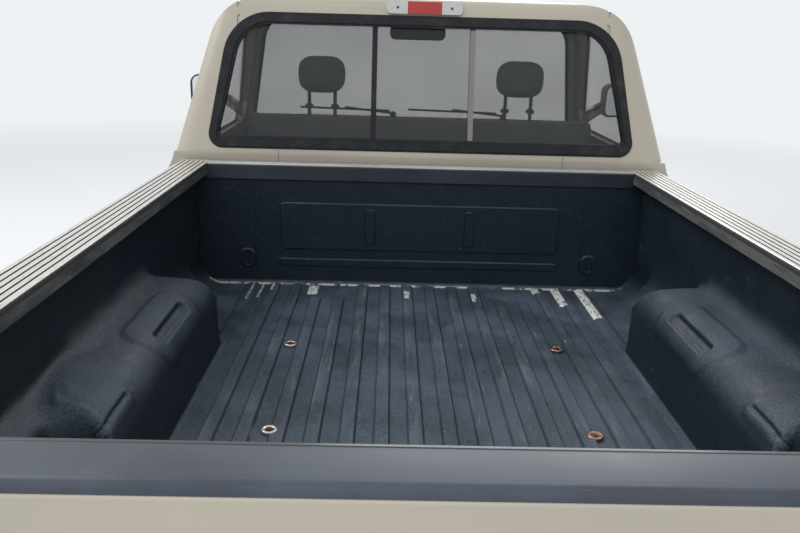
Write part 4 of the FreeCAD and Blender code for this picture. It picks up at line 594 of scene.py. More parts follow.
def chrome():
    """Bright plate with fine scratches and a few water marks, with painted shade on upright faces and
    darker painted shade on faces that look down.
    """
    g = Graph("bumper_chrome", (0.78, 0.79, 0.80), rough=0.1, metal=1.0)
    marks = g.ramp(g.noise(34, 8, 0.7), 0.60, 0.80, 0.0, 0.5)
    down = g.ramp(g.normal("Z"), 0.10, -0.45)
    level = g.band(g.normal("Z"), -0.12, 0.16, 0.10)
    top = g.both(
        g.ramp(g.normal("Z"), 0.85, 0.98),
        g.ramp(g.axis("Y"), GATE_REAR_Y - 0.01, GATE_REAR_Y - 0.02),
    )
    # Painted shade: the chrome is painted darker on upright faces and near black on faces that look down.
    colour = g.mix(level, (0.72, 0.73, 0.74), (0.46, 0.47, 0.49))
    colour = g.mix(down, colour, (0.16, 0.165, 0.175))
    colour = g.mix(marks, colour, (0.34, 0.33, 0.30))
    g.set("Base Color", g.mix(top, colour, (0.02, 0.02, 0.021)))
    g.set("Metallic", g.other(top))
    g.set("Roughness", g.math("ADD", g.ramp(marks, 0, 1, 0.07, 0.30), g.both(top, 0.5)))
    tread = g.both(top, g.waves(60, "X"), g.waves(60, "Y"))
    g.bump(tread, 0.6, 0.002)
    return g.material


def spare_finish():
    """Spare wheel: tyre rubber outside the rim's radius, dull silver steel inside it."""
    low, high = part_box("spare_wheel")
    g = Graph("spare_finish", RUBBER, rough=0.75)
    dx = g.math("SUBTRACT", g.axis("X"), (low.x + high.x) / 2)
    dy = g.math("SUBTRACT", g.axis("Y"), (low.y + high.y) / 2)
    radius = g.length(dx, dy)
    steel = g.ramp(radius, 0.2062, 0.2048)
    dust = g.spots(0.35, 0.75, 13, 7, 0.7)
    dark = g.mix(g.both(dust, 0.6), RUBBER_CLEAN, RUBBER_DUSTY)
    silver = g.mix(dust, (0.34, 0.34, 0.34), (0.14, 0.09, 0.06))
    g.set("Base Color", g.mix(steel, dark, silver))
    g.set("Metallic", g.both(steel, 0.8))
    g.set("Roughness", g.math("SUBTRACT", 0.8, g.both(steel, 0.35)))
    g.bump(g.noise(260, 5, 0.7), 0.3, 0.0008)
    return g.material


# Reversing lens in the tail lamps: middle height, half height, joint round it
LENS_Z = 1.0
LENS_HALF = 0.035
LENS_JOINT = (0.034, 0.038)
THIRD_LAMP_RED = 0.062


def lamp_red():
    """Tail lamps, red round a clear reversing lens, and the third lamp, red between pale ends."""
    g = Graph("lamp_red", (0.45, 0.012, 0.014), rough=0.12, Coat_Weight=0.8, Coat_Roughness=0.04)
    third = g.ramp(g.axis("Z"), 1.5, 1.6)
    x_abs = g.beside()
    ends = g.both(third, g.ramp(x_abs, THIRD_LAMP_RED - 0.001, THIRD_LAMP_RED + 0.001))
    clear = g.both(g.band(g.axis("Z"), LENS_Z - LENS_HALF, LENS_Z + LENS_HALF, 0.001), g.other(third))
    near, far = LENS_JOINT
    below = g.band(g.axis("Z"), LENS_Z - far, LENS_Z - near, 0.0006)
    above = g.band(g.axis("Z"), LENS_Z + near, LENS_Z + far, 0.0006)
    joint = g.both(g.either(below, above), g.other(third))
    pyramid = g.lattice(110, "X", "Z")
    colour = g.mix(pyramid, (0.30, 0.006, 0.008), (0.62, 0.03, 0.03))
    colour = g.mix(g.either(clear, ends), colour, (0.50, 0.50, 0.48))
    g.set("Base Color", g.mix(joint, colour, (0.05, 0.004, 0.004)))
    g.bump(pyramid, 0.5, 0.0012)
    return g.material


HEADLAMP_AMBER_X = 0.83
# Reflector bowls behind the lens: |x|, height and radius
LAMP_BOWLS = ((0.572, 0.861, 0.088), (0.742, 0.861, 0.076))


def lamp_glass():
    """Clear fluted headlamp lens over two reflector bowls with a painted highlight in their middles,
    amber at the outer corner.
    """
    g = Graph(
        "lamp_glass", (0.8, 0.82, 0.84), rough=0.08, metal=0.3, Coat_Weight=1.0, Coat_Roughness=0.03,
    )
    x_abs = g.beside()
    flutes = g.waves(22, "X")
    amber = g.ramp(x_abs, HEADLAMP_AMBER_X - 0.001, HEADLAMP_AMBER_X + 0.001)
    colour = g.mix(g.both(flutes, 0.5), (0.50, 0.52, 0.54), (0.24, 0.25, 0.27))
    for middle_x, middle_z, radius in LAMP_BOWLS:
        dx = g.math("SUBTRACT", x_abs, middle_x)
        dz = g.math("SUBTRACT", g.axis("Z"), middle_z)
        away = g.length(dx, dz)
        bowl = g.ramp(away, radius, radius - 0.003)
        # Painted highlight: each bowl is painted near white in its middle, fading darker towards its rim.
        bowl_highlight = g.mix(g.ramp(away, 0.0, radius), (0.90, 0.91, 0.92), (0.34, 0.35, 0.37))
        bowl_highlight = g.mix(g.both(flutes, 0.35), bowl_highlight, (0.22, 0.23, 0.25))
        bowl_highlight = g.mix(g.ramp(away, 0.020, 0.012), bowl_highlight, (0.20, 0.20, 0.21))
        colour = g.mix(bowl, colour, bowl_highlight)
        edge = g.band(away, radius - 0.002, radius + 0.004, 0.001)
        colour = g.mix(edge, colour, (0.20, 0.21, 0.22))
    pebble = g.lattice(40, "X", "Z")
    orange = g.mix(pebble, (0.80, 0.24, 0.02), (0.42, 0.10, 0.01))
    split = g.band(x_abs, HEADLAMP_AMBER_X - 0.003, HEADLAMP_AMBER_X + 0.001, 0.0006)
    g.set("Base Color", g.mix(split, g.mix(amber, colour, orange), (0.03, 0.03, 0.03)))
    g.bump(flutes, 0.35, 0.002)
    return g.material


GRILLE_FRAME = 0.032


def grille_finish():
    """Bright frame round dark level bars."""
    g = Graph("grille_finish", (0.03, 0.03, 0.032), rough=0.3)
    low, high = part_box("grille")
    x_abs = g.beside()
    inside = g.both(
        g.ramp(x_abs, high.x - GRILLE_FRAME + 0.001, high.x - GRILLE_FRAME),
        g.band(g.axis("Z"), low.z + GRILLE_FRAME, high.z - GRILLE_FRAME, 0.0005),
    )
    front = g.ramp(g.axis("Y"), high.y - 0.040, high.y - 0.030)
    frame_share = g.both(g.other(inside), front)
    dust = g.spots(0.4, 0.75, 12, 6, 0.7)
    dark = g.mix(g.both(dust, 0.5), (0.022, 0.022, 0.024), (0.08, 0.076, 0.068))
    bright = g.mix(g.both(dust, 0.4), (0.62, 0.63, 0.64), (0.34, 0.33, 0.31))
    g.set("Base Color", g.mix(frame_share, dark, bright))
    g.set("Metallic", frame_share)
    g.set("Roughness", g.math("SUBTRACT", 0.42, g.both(frame_share, 0.28)))
    g.bump(g.noise(500, 4), 0.06, 0.0003)
    return g.material


def front_wall_finish():
    """Painted front wall of the bed; its rolled cap is dark satin with a painted pale sky sheen on its
    top faces, dusty along the back.
    """
    g = Graph("front_wall_finish", (0.03, 0.034, 0.042), rough=0.42, Specular_IOR_Level=0.5)
    rear = g.ramp(g.axis("Y"), CAP_HIGH.y - 0.022, CAP_HIGH.y - 0.010)
    grit = g.spots(0.40, 0.62, 60, 8, 0.75)
    haze = g.noise(6, 5, 0.6, stretch=(0.4, 1, 1))
    top = g.ramp(g.normal("Z"), 0.5, 0.95)
    colour = g.mix(g.ramp(haze, 0.3, 0.7), (0.013, 0.017, 0.023), (0.024, 0.030, 0.038))
    # Painted sky sheen: the cap's top faces are painted pale grey over the dark satin.
    top_sheen = g.mix(g.ramp(haze, 0.3, 0.7), (0.29, 0.30, 0.30), (0.46, 0.46, 0.45))
    colour = g.mix(top, colour, top_sheen)
    colour = g.mix(g.both(rear, grit), colour, (0.22, 0.21, 0.19))
    g.set("Base Color", colour)
    g.set("Roughness", g.ramp(haze, 0.3, 0.7, 0.36, 0.52))
    g.bump(g.noise(800, 3), 0.15, 0.0004)
    return g.material


def fabric(name, base):
    """Woven cloth with a fine twill, a broader fleck and a soft sheen."""
    g = Graph(name, base, rough=0.92, Sheen_Weight=0.35, Specular_IOR_Level=0.2)
    weave = g.lattice(160, "X", "Z")
    tone = g.spots(0.3, 0.7, 8, 4)
    fleck = g.spots(0.45, 0.62, 520, 3, 0.7)
    darker = tuple(c * 0.55 for c in base)
    paler = tuple(c * 1.45 for c in base)
    colour = g.mix(g.both(tone, 0.5), base, darker)
    colour = g.mix(g.both(fleck, 0.5), colour, paler)
    g.set("Base Color", colour)
    g.bump(weave, 0.6, 0.0012)
    return g.material


def carpet():
    """Looped floor carpet; what faces down is dark sealed metal."""
    g = Graph("carpet", (0.06, 0.06, 0.062), rough=0.97)
    loops = g.cells(900)
    tone = g.spots(0.35, 0.7, 6, 6, 0.65)
    top = g.ramp(g.normal("Z"), -0.3, 0.1)
    pile = g.mix(tone, (0.045, 0.045, 0.047), (0.095, 0.092, 0.088))
    g.set("Base Color", g.mix(top, (0.025, 0.026, 0.028), pile))
    g.bump(loops, 0.8, 0.0025)
    return g.material


def mirror_glass():
    g = Graph("mirror_glass", (0.75, 0.77, 0.78), rough=0.03, metal=1.0)
    film_and_sheen = g.spots(0.5, 0.75, 30, 6, 0.7)
    g.set("Roughness", g.math("MULTIPLY_ADD", film_and_sheen, 0.10, 0.02))
    return g.material


def join_body(name, mesh, material, body, smooth=True):
    """Puts a bmesh in the scene as a piece that rides on a body."""
    data = bpy.data.meshes.new(name)
    mesh.to_mesh(data)
    mesh.free()
    for face in data.polygons:
        face.use_smooth = smooth
    data.materials.append(material)
    piece = bpy.data.objects.new(name, data)
    bpy.context.scene.collection.objects.link(piece)
    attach(piece, body)
    return piece


def skin(mesh, rings, capped=True):
    """Faces between rings of points, and over both ends."""
    count = len(rings[0])
    for low, high in zip(rings, rings[1:]):
        for k in range(count):
            mesh.faces.new((low[k], low[(k + 1) % count], high[(k + 1) % count], high[k]))
    if capped:
        mesh.faces.new(rings[-1])
        mesh.faces.new(list(reversed(rings[0])))


def add_disc(mesh, centre, axis, rows, sides=24):
    """Turned form: rows are radius and height along the axis from the centre."""
    turn = Vector(axis).normalized().to_track_quat("Z", "Y").to_matrix()
    rings = []
    for radius, height in rows:
        ring = []
        for k in range(sides):
            a = 2 * math.pi * k / sides
            spot = Vector((radius * math.cos(a), radius * math.sin(a), height))
            ring.append(mesh.verts.new(Vector(centre) + turn @ spot))
        rings.append(ring)
    skin(mesh, rings)


# Floor bolts: name, x, distance back from the front wall
BED_BOLTS = (
    ("front_left", -0.400, 0.595),
    ("front_right", 0.400, 0.595),
    ("rear_left", -0.385, 1.12),
    ("rear_right", 0.385, 1.12),
)
# Turned forms: radius, height over the ribs
WASHER_RIM = ((0.0186, 0.0022), (0.0135, 0.0024), (0.0115, 0.0004))
WASHER_R = 0.020
SOCKET_ROWS = ((0.0112, 0), (0.0112, 0.0007), (0.008, 0.0009))
HEAD_ROWS = ((0.0068, 0), (0.0064, 0.0034), (0.0030, 0.0036))


def raised(rows, lift):
    return [(radius, lift + height) for radius, height in rows]


def bed_bolts(bright, rusty, dark):
    """Pressed washers with a sunk middle and a bolt head in it, which hold the liner down."""
    lift = RIB_TOP - FLOOR_Z
    for name, x, back in BED_BOLTS:
        spot = (x, BULKHEAD_Y - back, FLOOR_Z)
        mesh = bmesh.new()
        add_disc(mesh, spot, UP, [(WASHER_R, 0), (WASHER_R, lift)] + raised(WASHER_RIM, lift), 36)
        join_body("bed_washer_" + name, mesh, bright if "left" in name else rusty, "chassis")
        mesh = bmesh.new()
        add_disc(mesh, spot, UP, raised(SOCKET_ROWS, lift), 24)
        add_disc(mesh, spot, UP, raised(HEAD_ROWS, lift), 6)
        join_body("bed_bolt_" + name, mesh, dark, "chassis", smooth=False)


# Liner's sides, draped over its solid and softened like moulded sheet
SIDE_FROM_X = 0.567
SIDE_REAR_Y = LINER_LOW.y + 0.012
SIDE_FRONT_Y = BULKHEAD_Y - 0.010
SIDE_TOP_Z = LINER_HIGH.z - 0.048
SIDE_EYE = (0.40, 0.50)
SIDE_ROWS = 386
SIDE_STEPS = 150
SOFT_PASSES = 50
SOFT_BORDER = 7.0
MARK_BORDER = 8.0
SINK_MOST = 0.0030
FOOT_RISE = 0.020
FOOT_SHARE = 0.06
# Dents in the humps: |x|, distance back from the front wall, half width, half length, soft edge, height
HUMP_MARKS = (
    (0.668, 0.94, 0.052, 0.165, 0.020, 0.0075),
    (0.652, 0.94, 0.0075, 0.115, 0.009, -0.0120),
    (0.640, 1.40, 0.009, 0.090, 0.010, 0.0026),
    (0.640, 1.40, 0.001, 0.080, 0.005, -0.0046),
)


def hit(tree, start, end):
    """First point on the liner from one point towards another."""
    start, end = Vector(start), Vector(end)
    found = tree.ray_cast(start, (end - start).normalized())
    return found[0]


def step_share(value, low, high):
    t = min(1.0, max(0.0, (value - low) / (high - low)))
    return t * t * (3 - 2 * t)


def side_grid(tree, side):
    """Points of one side, row by row from the rear, each row from the floor up the wall."""
    grid = []
    eye_x, eye_z = side * SIDE_EYE[0], LINER_LOW.z + SIDE_EYE[1]
    for i in range(SIDE_ROWS + 1):
        y = SIDE_REAR_Y + (SIDE_FRONT_Y - SIDE_REAR_Y) * i / SIDE_ROWS
        foot = hit(tree, (side * SIDE_FROM_X, y, eye_z), (side * SIDE_FROM_X, y, 0))
        head = hit(tree, (eye_x, y, SIDE_TOP_Z), (side * 2, y, SIDE_TOP_Z))
        first = math.atan2((foot.x - eye_x) * side, eye_z - foot.z)
        last = math.atan2((head.x - eye_x) * side, eye_z - head.z)
        row = [foot]
        for k in range(1, SIDE_STEPS):
            a = first + (last - first) * k / SIDE_STEPS
            aim = (eye_x + side * math.sin(a), y, eye_z - math.cos(a))
            row.append(hit(tree, (eye_x, y, eye_z), aim) or row[-1].copy())
        row.append(head)
        grid.append(row)
    return grid


def side_normals(grid, side):
    """Direction away from the liner at each point of the grid."""
    out = []
    for i, row in enumerate(grid):
        after, before = grid[min(i + 1, len(grid) - 1)], grid[max(i - 1, 0)]
        line = []
        for k in range(len(row)):
            along = after[k] - before[k]
            across = row[min(k + 1, len(row) - 1)] - row[max(k - 1, 0)]
            line.append((across.cross(along) * side).normalized())
        out.append(line)
    return out


def border_share(count):
    """0 at both ends of a line of points and 1 a few points in."""
    return np.clip(np.minimum(np.arange(count), count - 1 - np.arange(count)) / SOFT_BORDER, 0, 1)


def soften(grid, side):
    """Rounds the side's edges, least at its foot and border, and never far into the solid."""
    first = np.array([[tuple(p) for p in row] for row in grid])
    points = first.copy()
    rows, steps = first.shape[:2]
    rise = first[:, :, 2] - LINER_FLOOR_Z
    foot = np.clip((rise - RIB_RISE) / FOOT_RISE, FOOT_SHARE, 1)
    share = (border_share(rows)[:, None] * border_share(steps)[None, :] * foot * 0.5)[1:-1, 1:-1, None]
    for _ in range(SOFT_PASSES):
        middle = (points[2:, 1:-1] + points[:-2, 1:-1] + points[1:-1, 2:] + points[1:-1, :-2]) / 4
        points[1:-1, 1:-1] += (middle - points[1:-1, 1:-1]) * share
    normals = np.array([[tuple(n) for n in row] for row in side_normals(grid, side)])
    sunk = ((points - first) * normals).sum(axis=2)
    points += normals * np.maximum(0.0, -SINK_MOST - sunk)[:, :, None]
    return [[Vector(p) for p in row] for row in points]


# Heights over the floor between which the marks and the waviness come in; the waves' scales and heights
MARK_RISE = (0.12, 0.16)
WAVE_RISE = (0.02, 0.08)
SHEET_WAVES = ((9.0, 0.0016), (23.0, 0.0006))


def hump_height(spot):
    """Raised pad, slot and crease on a hump, and the slow waviness of moulded sheet."""
    x, back = abs(spot.x), BULKHEAD_Y - spot.y
    rise = spot.z - LINER_FLOOR_Z
    height = 0.0
    for at_x, at_back, half_x, half_back, soft, tall in HUMP_MARKS:
        # round ends: the distance from the mark's middle line
        over = max(0.0, abs(back - at_back) - (half_back - half_x))
        reach = math.hypot(x - at_x, over)
        height += tall * (1 - step_share(reach, half_x, half_x + soft)) * step_share(rise, *MARK_RISE)
    wave = sum(noise.noise(spot * scale) * tall for scale, tall in SHEET_WAVES)
    return height + wave * step_share(rise, *WAVE_RISE)


def without_sides(body):
    """Takes the faces that the draped sides stand for out of the liner's own."""
    border = [((side * SIDE_FROM_X, 0, 0), (1, 0, 0)) for side in SIDES]
    border += [
        ((0, SIDE_REAR_Y, 0), (0, 1, 0)),
        ((0, SIDE_FRONT_Y, 0), (0, 1, 0)),
        ((0, 0, SIDE_TOP_Z), UP),
    ]
    for spot, direction in border:
        parts = body.verts[:] + body.edges[:] + body.faces[:]
        bmesh.ops.bisect_plane(body, geom=parts, plane_co=spot, plane_no=direction, dist=1e-6)
    gone = []
    for face in body.faces:
        middle = face.calc_center_median()
        within = SIDE_REAR_Y < middle.y < SIDE_FRONT_Y and middle.z < SIDE_TOP_Z
        if within and abs(middle.x) > SIDE_FROM_X:
            gone.append(face)
    bmesh.ops.delete(body, geom=gone, context="FACES")
    return body


def draped(grid, side):
    """Mesh of one softened side with its marks."""
    soft = soften(grid, side)
    last_row, last_step = len(soft) - 1, len(soft[0]) - 1
    mesh = bmesh.new()
    rows = []
    for i, (row, line) in enumerate(zip(soft, side_normals(soft, side))):
        made = []
        for k, (spot, normal) in enumerate(zip(row, line)):
            edge = min(i, last_row - i, k, last_step - k) / MARK_BORDER
            made.append(mesh.verts.new(spot + normal * hump_height(spot) * min(1.0, edge)))
        rows.append(made)
    for low, high in zip(rows, rows[1:]):
        for k in range(last_step):
            mesh.faces.new((low[k], low[k + 1], high[k + 1], high[k]))
    return sound(mesh)


def liner(material):
    """The liner: its solid's faces, with both sides draped and softened."""
    body = bmesh.new()
    body.from_mesh(nodes["bed_liner"].data)
    tree = BVHTree.FromBMesh(body)
    grids = {side: side_grid(tree, side) for side in SIDES}
    piece = join_body(
        "liner_floor", without_sides(body), material, "chassis", smooth=False,
    )
    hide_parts("bed_liner")
    for side, name in reversed(NAMED_SIDES):
        mesh = draped(grids[side], side)
        piece = join_body("liner_side_" + name, mesh, material, "chassis")
        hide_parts("bed_liner")


# Tread: rows of blocks across, blocks round a row, depth and the rows' pitch; then a block's share of its
# pitch, slant, start and half width in the middle and at the edge, and how far it is sunk in
TREAD_ROWS = 5
TREAD_PITCHES = 64
TREAD_DEPTH = 0.009
ROW_PITCH = 0.345
BLOCK_LONG = 0.74
BLOCK_SLANT = 0.16
BLOCK_START = 0.08
BLOCK_WIDE = (0.135, 0.16)
BLOCK_SUNK = 0.006
CROWN_DROP = 0.006
SHOULDER_AT = 0.8
SHOULDER_DROP = 0.004
CARCASS_SIDES = 96
# Half of the carcass from tread to bead: share of the half width, depth below the tread's top
CARCASS_ROWS = (
    (0.0, TREAD_DEPTH),
    (0.40, TREAD_DEPTH + 0.001),
    (0.72, TREAD_DEPTH + 0.005),
    (0.86, 0.026),
    (0.95, 0.052),
    (0.995, 0.085),
    (0.985, 0.120),
    (0.93, 0.150),
    (0.82, 0.1755),
    (0.745, 0.1765),
)


def around(centre, x, radius, angle):
    return (centre.x + x, centre.y + radius * math.cos(angle), centre.z + radius * math.sin(angle))


def tread_block(mesh, centre, row, k):
    """One slanted block of the tread, sunk into the carcass."""
    pitch = 2 * math.pi / TREAD_PITCHES
    middle = (row - (TREAD_ROWS - 1) / 2) * TYRE_HALF * ROW_PITCH
    wide = TYRE_HALF * BLOCK_WIDE[abs(middle) >= TYRE_HALF / 2]
    a0 = pitch * (k + (0.5 if row % 2 else 0.0) + BLOCK_START)
    a1 = a0 + pitch * BLOCK_LONG
    skew = pitch * BLOCK_SLANT * (1 if middle >= 0 else -1)
    drop = CROWN_DROP * (middle / TYRE_HALF) ** 2
    corners = []
    for r in (TYRE_RADIUS - TREAD_DEPTH - BLOCK_SUNK, TYRE_RADIUS - drop):
        for x, a in ((-wide, a0 - skew), (wide, a0 + skew), (wide, a1 + skew), (-wide, a1 - skew)):
            shoulder = SHOULDER_DROP if abs(middle + x) > TYRE_HALF * SHOULDER_AT else 0.0
            corners.append(mesh.verts.new(around(centre, middle + x, r - shoulder, a)))
    low, high = corners[:4], corners[4:]
    mesh.faces.new(high)
    for i in range(4):
        j = (i + 1) % 4
        mesh.faces.new((low[i], low[j], high[j], high[i]))


def tyre_mesh(centre):
    mesh = bmesh.new()
    outline = [(TYRE_HALF * share, TYRE_RADIUS - depth) for share, depth in CARCASS_ROWS]
    section = [(-x, r) for x, r in reversed(outline)] + outline[1:]
    rings = []
    for k in range(CARCASS_SIDES):
        a = 2 * math.pi * k / CARCASS_SIDES
        rings.append([mesh.verts.new(around(centre, x, r, a)) for x, r in section])
    for one, two in zip(rings, rings[1:] + rings[:1]):
        for i in range(len(section) - 1):
            mesh.faces.new((one[i], one[i + 1], two[i + 1], two[i]))
    for row in range(TREAD_ROWS):
        for k in range(TREAD_PITCHES):
            tread_block(mesh, centre, row, k)
    return sound(mesh)


def tyres(material):
    for corner in CORNERS:
        low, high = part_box("tyre_" + corner)
        mesh = tyre_mesh((low + high) / 2)
        piece = join_body(
            "tread_" + corner, mesh, material, "wheel_" + corner, smooth=False,
        )
        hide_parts("tyre_" + corner)


# Lug nuts and valve: count, circle, places in from the rim's outer face, rows of radius and height
LUG_COUNT = 5
LUG_CIRCLE = 0.057
LUG_IN = 0.030
LUG_ROWS = ((0.0085, -0.012), (0.0085, 0.006), (0.006, 0.010), (0.002, 0.011))
VALVE_IN = 0.004
VALVE_DOWN = 0.158
VALVE_ROWS = ((0.004, -0.02), (0.004, 0.012), (0.0045, 0.013), (0.0045, 0.022), (0.002, 0.023))


def wheel_nuts(material):
    """Lug nuts and a valve stem on each wheel."""
    for corner in CORNERS:
        low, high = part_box("rim_" + corner)
        centre = (low + high) / 2
        out = 1 if centre.x > 0 else -1
        face = (high.x if out > 0 else low.x) - out * LUG_IN
        mesh = bmesh.new()
        for k in range(LUG_COUNT):
            a = 2 * math.pi * (k + 0.5) / LUG_COUNT
            spot = (face, centre.y + LUG_CIRCLE * math.cos(a), centre.z + LUG_CIRCLE * math.sin(a))
            add_disc(mesh, spot, (out, 0, 0), LUG_ROWS, 6)
        valve = (face - out * VALVE_IN, centre.y, centre.z - VALVE_DOWN)
        add_disc(mesh, valve, (out, 0, 0), VALVE_ROWS, 12)
        join_body("lug_nuts_" + corner, mesh, material, "wheel_" + corner)


def arc_corners(corners, steps=5):
    """Outline of (a, b, radius) corners, each rounded by an arc of short steps."""
    points = []
    count = len(corners)
    for i, (a, b, radius) in enumerate(corners):
        here = Vector((a, b))
        before = (Vector(corners[i - 1][:2]) - here).normalized()
        after = (Vector(corners[(i + 1) % count][:2]) - here).normalized()
        half = before.angle(after) / 2
        reach = radius / math.tan(half)
        middle = here + (before + after).normalized() * (radius / math.sin(half))
        start = here + before * reach - middle
        turn = start.angle_signed(here + after * reach - middle)
        for k in range(steps + 1):
            t = -turn * k / steps
            x = start.x * math.cos(t) - start.y * math.sin(t)
            y = start.x * math.sin(t) + start.y * math.cos(t)
            points.append(middle + Vector((x, y)))
    return points


def add_prism(mesh, points, place, low, high):
    """Closed prism; place turns an outline point and a height into a position."""
    skin(mesh, [[mesh.verts.new(place(p, height)) for p in points] for height in (low, high)])


def side_on(point, x):
    return (x, point.x, point.y)


def end_on(point, y):
    return (point.x, y, point.y)


def add_bar(mesh, start, end, up, wide, tall):
    """Bar with a ridge along its middle, from start to end, its foot on the line."""
    start, end, up = Vector(start), Vector(end), Vector(up).normalized()
    side = (end - start).cross(up).normalized()
    half = [(wide / 2, 0.0), (wide / 2, tall * 0.5), (wide / 5, tall)]
    section = [(-a, b) for a, b in half] + half[::-1]
    ends = [[spot + side * a + up * b for a, b in section] for spot in (start, end)]
    skin(mesh, [[mesh.verts.new(spot) for spot in ring] for ring in ends])


def sound(mesh):
    """The mesh with its faces turned outwards."""
    bmesh.ops.recalc_face_normals(mesh, faces=mesh.faces)
    return mesh


# Seat: rows of y, height over its foot and corner radius; then the headrests, seams and cloth
SEAT_HALF = SEAT_HIGH.x - 0.012
SEAT_FLOOR = SEAT_LOW.z
CUSHION_ROWS = (
    (0.034, 0.130, 0.030), (0.526, 0.150, 0.050), (0.526, 0.246, 0.045), (0.034, 0.216, 0.030),
)
BACK_ROWS = ((0.026, 0.236, 0.03), (0.150, 0.252, 0.04), (0.046, 0.786, 0.045), (-0.056, 0.786, 0.045))
REST_X = 0.383
REST_HALF = 0.088
REST_ROWS = (
    (-0.036, 0.850, 0.025), (0.044, 0.850, 0.028), (0.014, 0.990, 0.03), (-0.045, 0.990, 0.028),
)
REST_ROUND = 0.055
REST_POST_X = 0.05
REST_POST_R = 0.007
SEAM_X = (-0.46, -0.155, 0.155, 0.46)
SEAM_DEPTH = 0.013
SEAM_WIDTH = 0.013
CUSHION_VOXEL = 0.012
REST_VOXEL = 0.006
SWELL_MOST = 0.024
SWELL_FRAMES = 20
CLOTH_SETTINGS = {
    "quality": 6,
    "mass": 0.3,
    "tension_stiffness": 15,
    "compression_stiffness": 15,
    "bending_stiffness": 0.5,
    "use_pressure": True,
    "uniform_pressure_force": 4.0,
}
SMOOTH_PASSES = 6
REST_UNDER = 0.006


def baked(piece):
    """The piece's mesh as its modifiers leave it, with the modifiers gone."""
    graph = bpy.context.evaluated_depsgraph_get()
    data = bpy.data.meshes.new_from_object(piece.evaluated_get(graph))
    piece.modifiers.clear()
    piece.data = data


def swell(piece, floor_z):
    """Pressure from inside swells the cover; no point moves further than the cap or below its rest."""
    start = [v.co.copy() for v in piece.data.vertices]
    cloth = piece.modifiers.new("cloth", "CLOTH")
    for setting, value in CLOTH_SETTINGS.items():
        setattr(cloth.settings, setting, value)
    cloth.settings.effector_weights.gravity = 0
    cloth.collision_settings.use_collision = False
    scene = bpy.context.scene
    for step in range(1, SWELL_FRAMES + 1):
        scene.frame_set(step)
    baked(piece)
    scene.frame_set(1)
    for vertex, first in zip(piece.data.vertices, start):
        move = vertex.co - first
        if move.length > SWELL_MOST:
            vertex.co = first + move.normalized() * SWELL_MOST
        vertex.co.z = max(vertex.co.z, floor_z)


def sew(piece, seams, crown):
    """Sewn channels down the cover, deepest where it faces the way its crown does."""
    if not seams:
        return
    normals = [v.normal.copy() for v in piece.data.vertices]
    for vertex, normal in zip(piece.data.vertices, normals):
        near = min(abs(vertex.co.x - x) for x in seams)
        groove = SEAM_DEPTH * math.exp(-((near / SEAM_WIDTH) ** 2))
        facing = max(0.0, normal.dot(crown))
        vertex.co -= normal * groove * facing


def round_corners(piece, middle, half):
    """Draws a headrest's corners in, so that its outline from behind is round-cornered."""
    heights = [v.co.z for v in piece.data.vertices]
    low, high = min(heights), max(heights)
    for vertex in piece.data.vertices:
        side = 1 if vertex.co.x > middle else -1
        up = 1 if vertex.co.z > (low + high) / 2 else -1
        corner_x = middle + side * (half - REST_ROUND)
        corner_z = (high - REST_ROUND) if up > 0 else (low + REST_ROUND)
        dx, dz = (vertex.co.x - corner_x) * side, (vertex.co.z - corner_z) * up
        reach = math.hypot(max(dx, 0.0), max(dz, 0.0))
        if dx > 0 and dz > 0 and reach > REST_ROUND:
            vertex.co.x = corner_x + side * dx * REST_ROUND / reach
            vertex.co.z = corner_z + up * dz * REST_ROUND / reach


def padded_piece(name, rows, x_low, x_high, material, voxel, seams, crown):
    """A stuffed cover: its outline is drawn out from side to side, remeshed, swelled and sewn."""
    mesh = bmesh.new()
    points = arc_corners([(y, SEAT_FLOOR + z, r) for y, z, r in rows])
    add_prism(mesh, points, side_on, x_low, x_high)
    piece = join_body(name, sound(mesh), material, "chassis")
    remesh = piece.modifiers.new("remesh", "REMESH")
    remesh.mode = "VOXEL"
    remesh.voxel_size = voxel
    baked(piece)
    smooth = piece.modifiers.new("smooth", "SMOOTH")
    smooth.iterations = SMOOTH_PASSES
    baked(piece)
    if not seams:
        round_corners(piece, (x_low + x_high) / 2, (x_high - x_low) / 2)
    rest = SEAT_FLOOR + min(z for y, z, r in rows) - REST_UNDER
    swell(piece, rest)
    sew(piece, seams, Vector(crown).normalized())
    divide = piece.modifiers.new("divide", "SUBSURF")
    divide.levels = 1
    baked(piece)
    for face in piece.data.polygons:
        face.use_smooth = True
    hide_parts("bench_seat")


# Base under the cushion, and a headrest's post and collar as rows of radius and height
BASE_HALF = 0.64
BASE_REAR = 0.06
BASE_FRONT = 0.48
BASE_HIGH = 0.145
POST_FOOT = 0.74
POST_ROWS = ((REST_POST_R, 0), (REST_POST_R, 0.15))
COLLAR_ROWS = ((0.016, 0.05), (0.016, 0.062), (0.012, 0.066))


def flat_on(point, z):
    return (point.x, point.y, z)


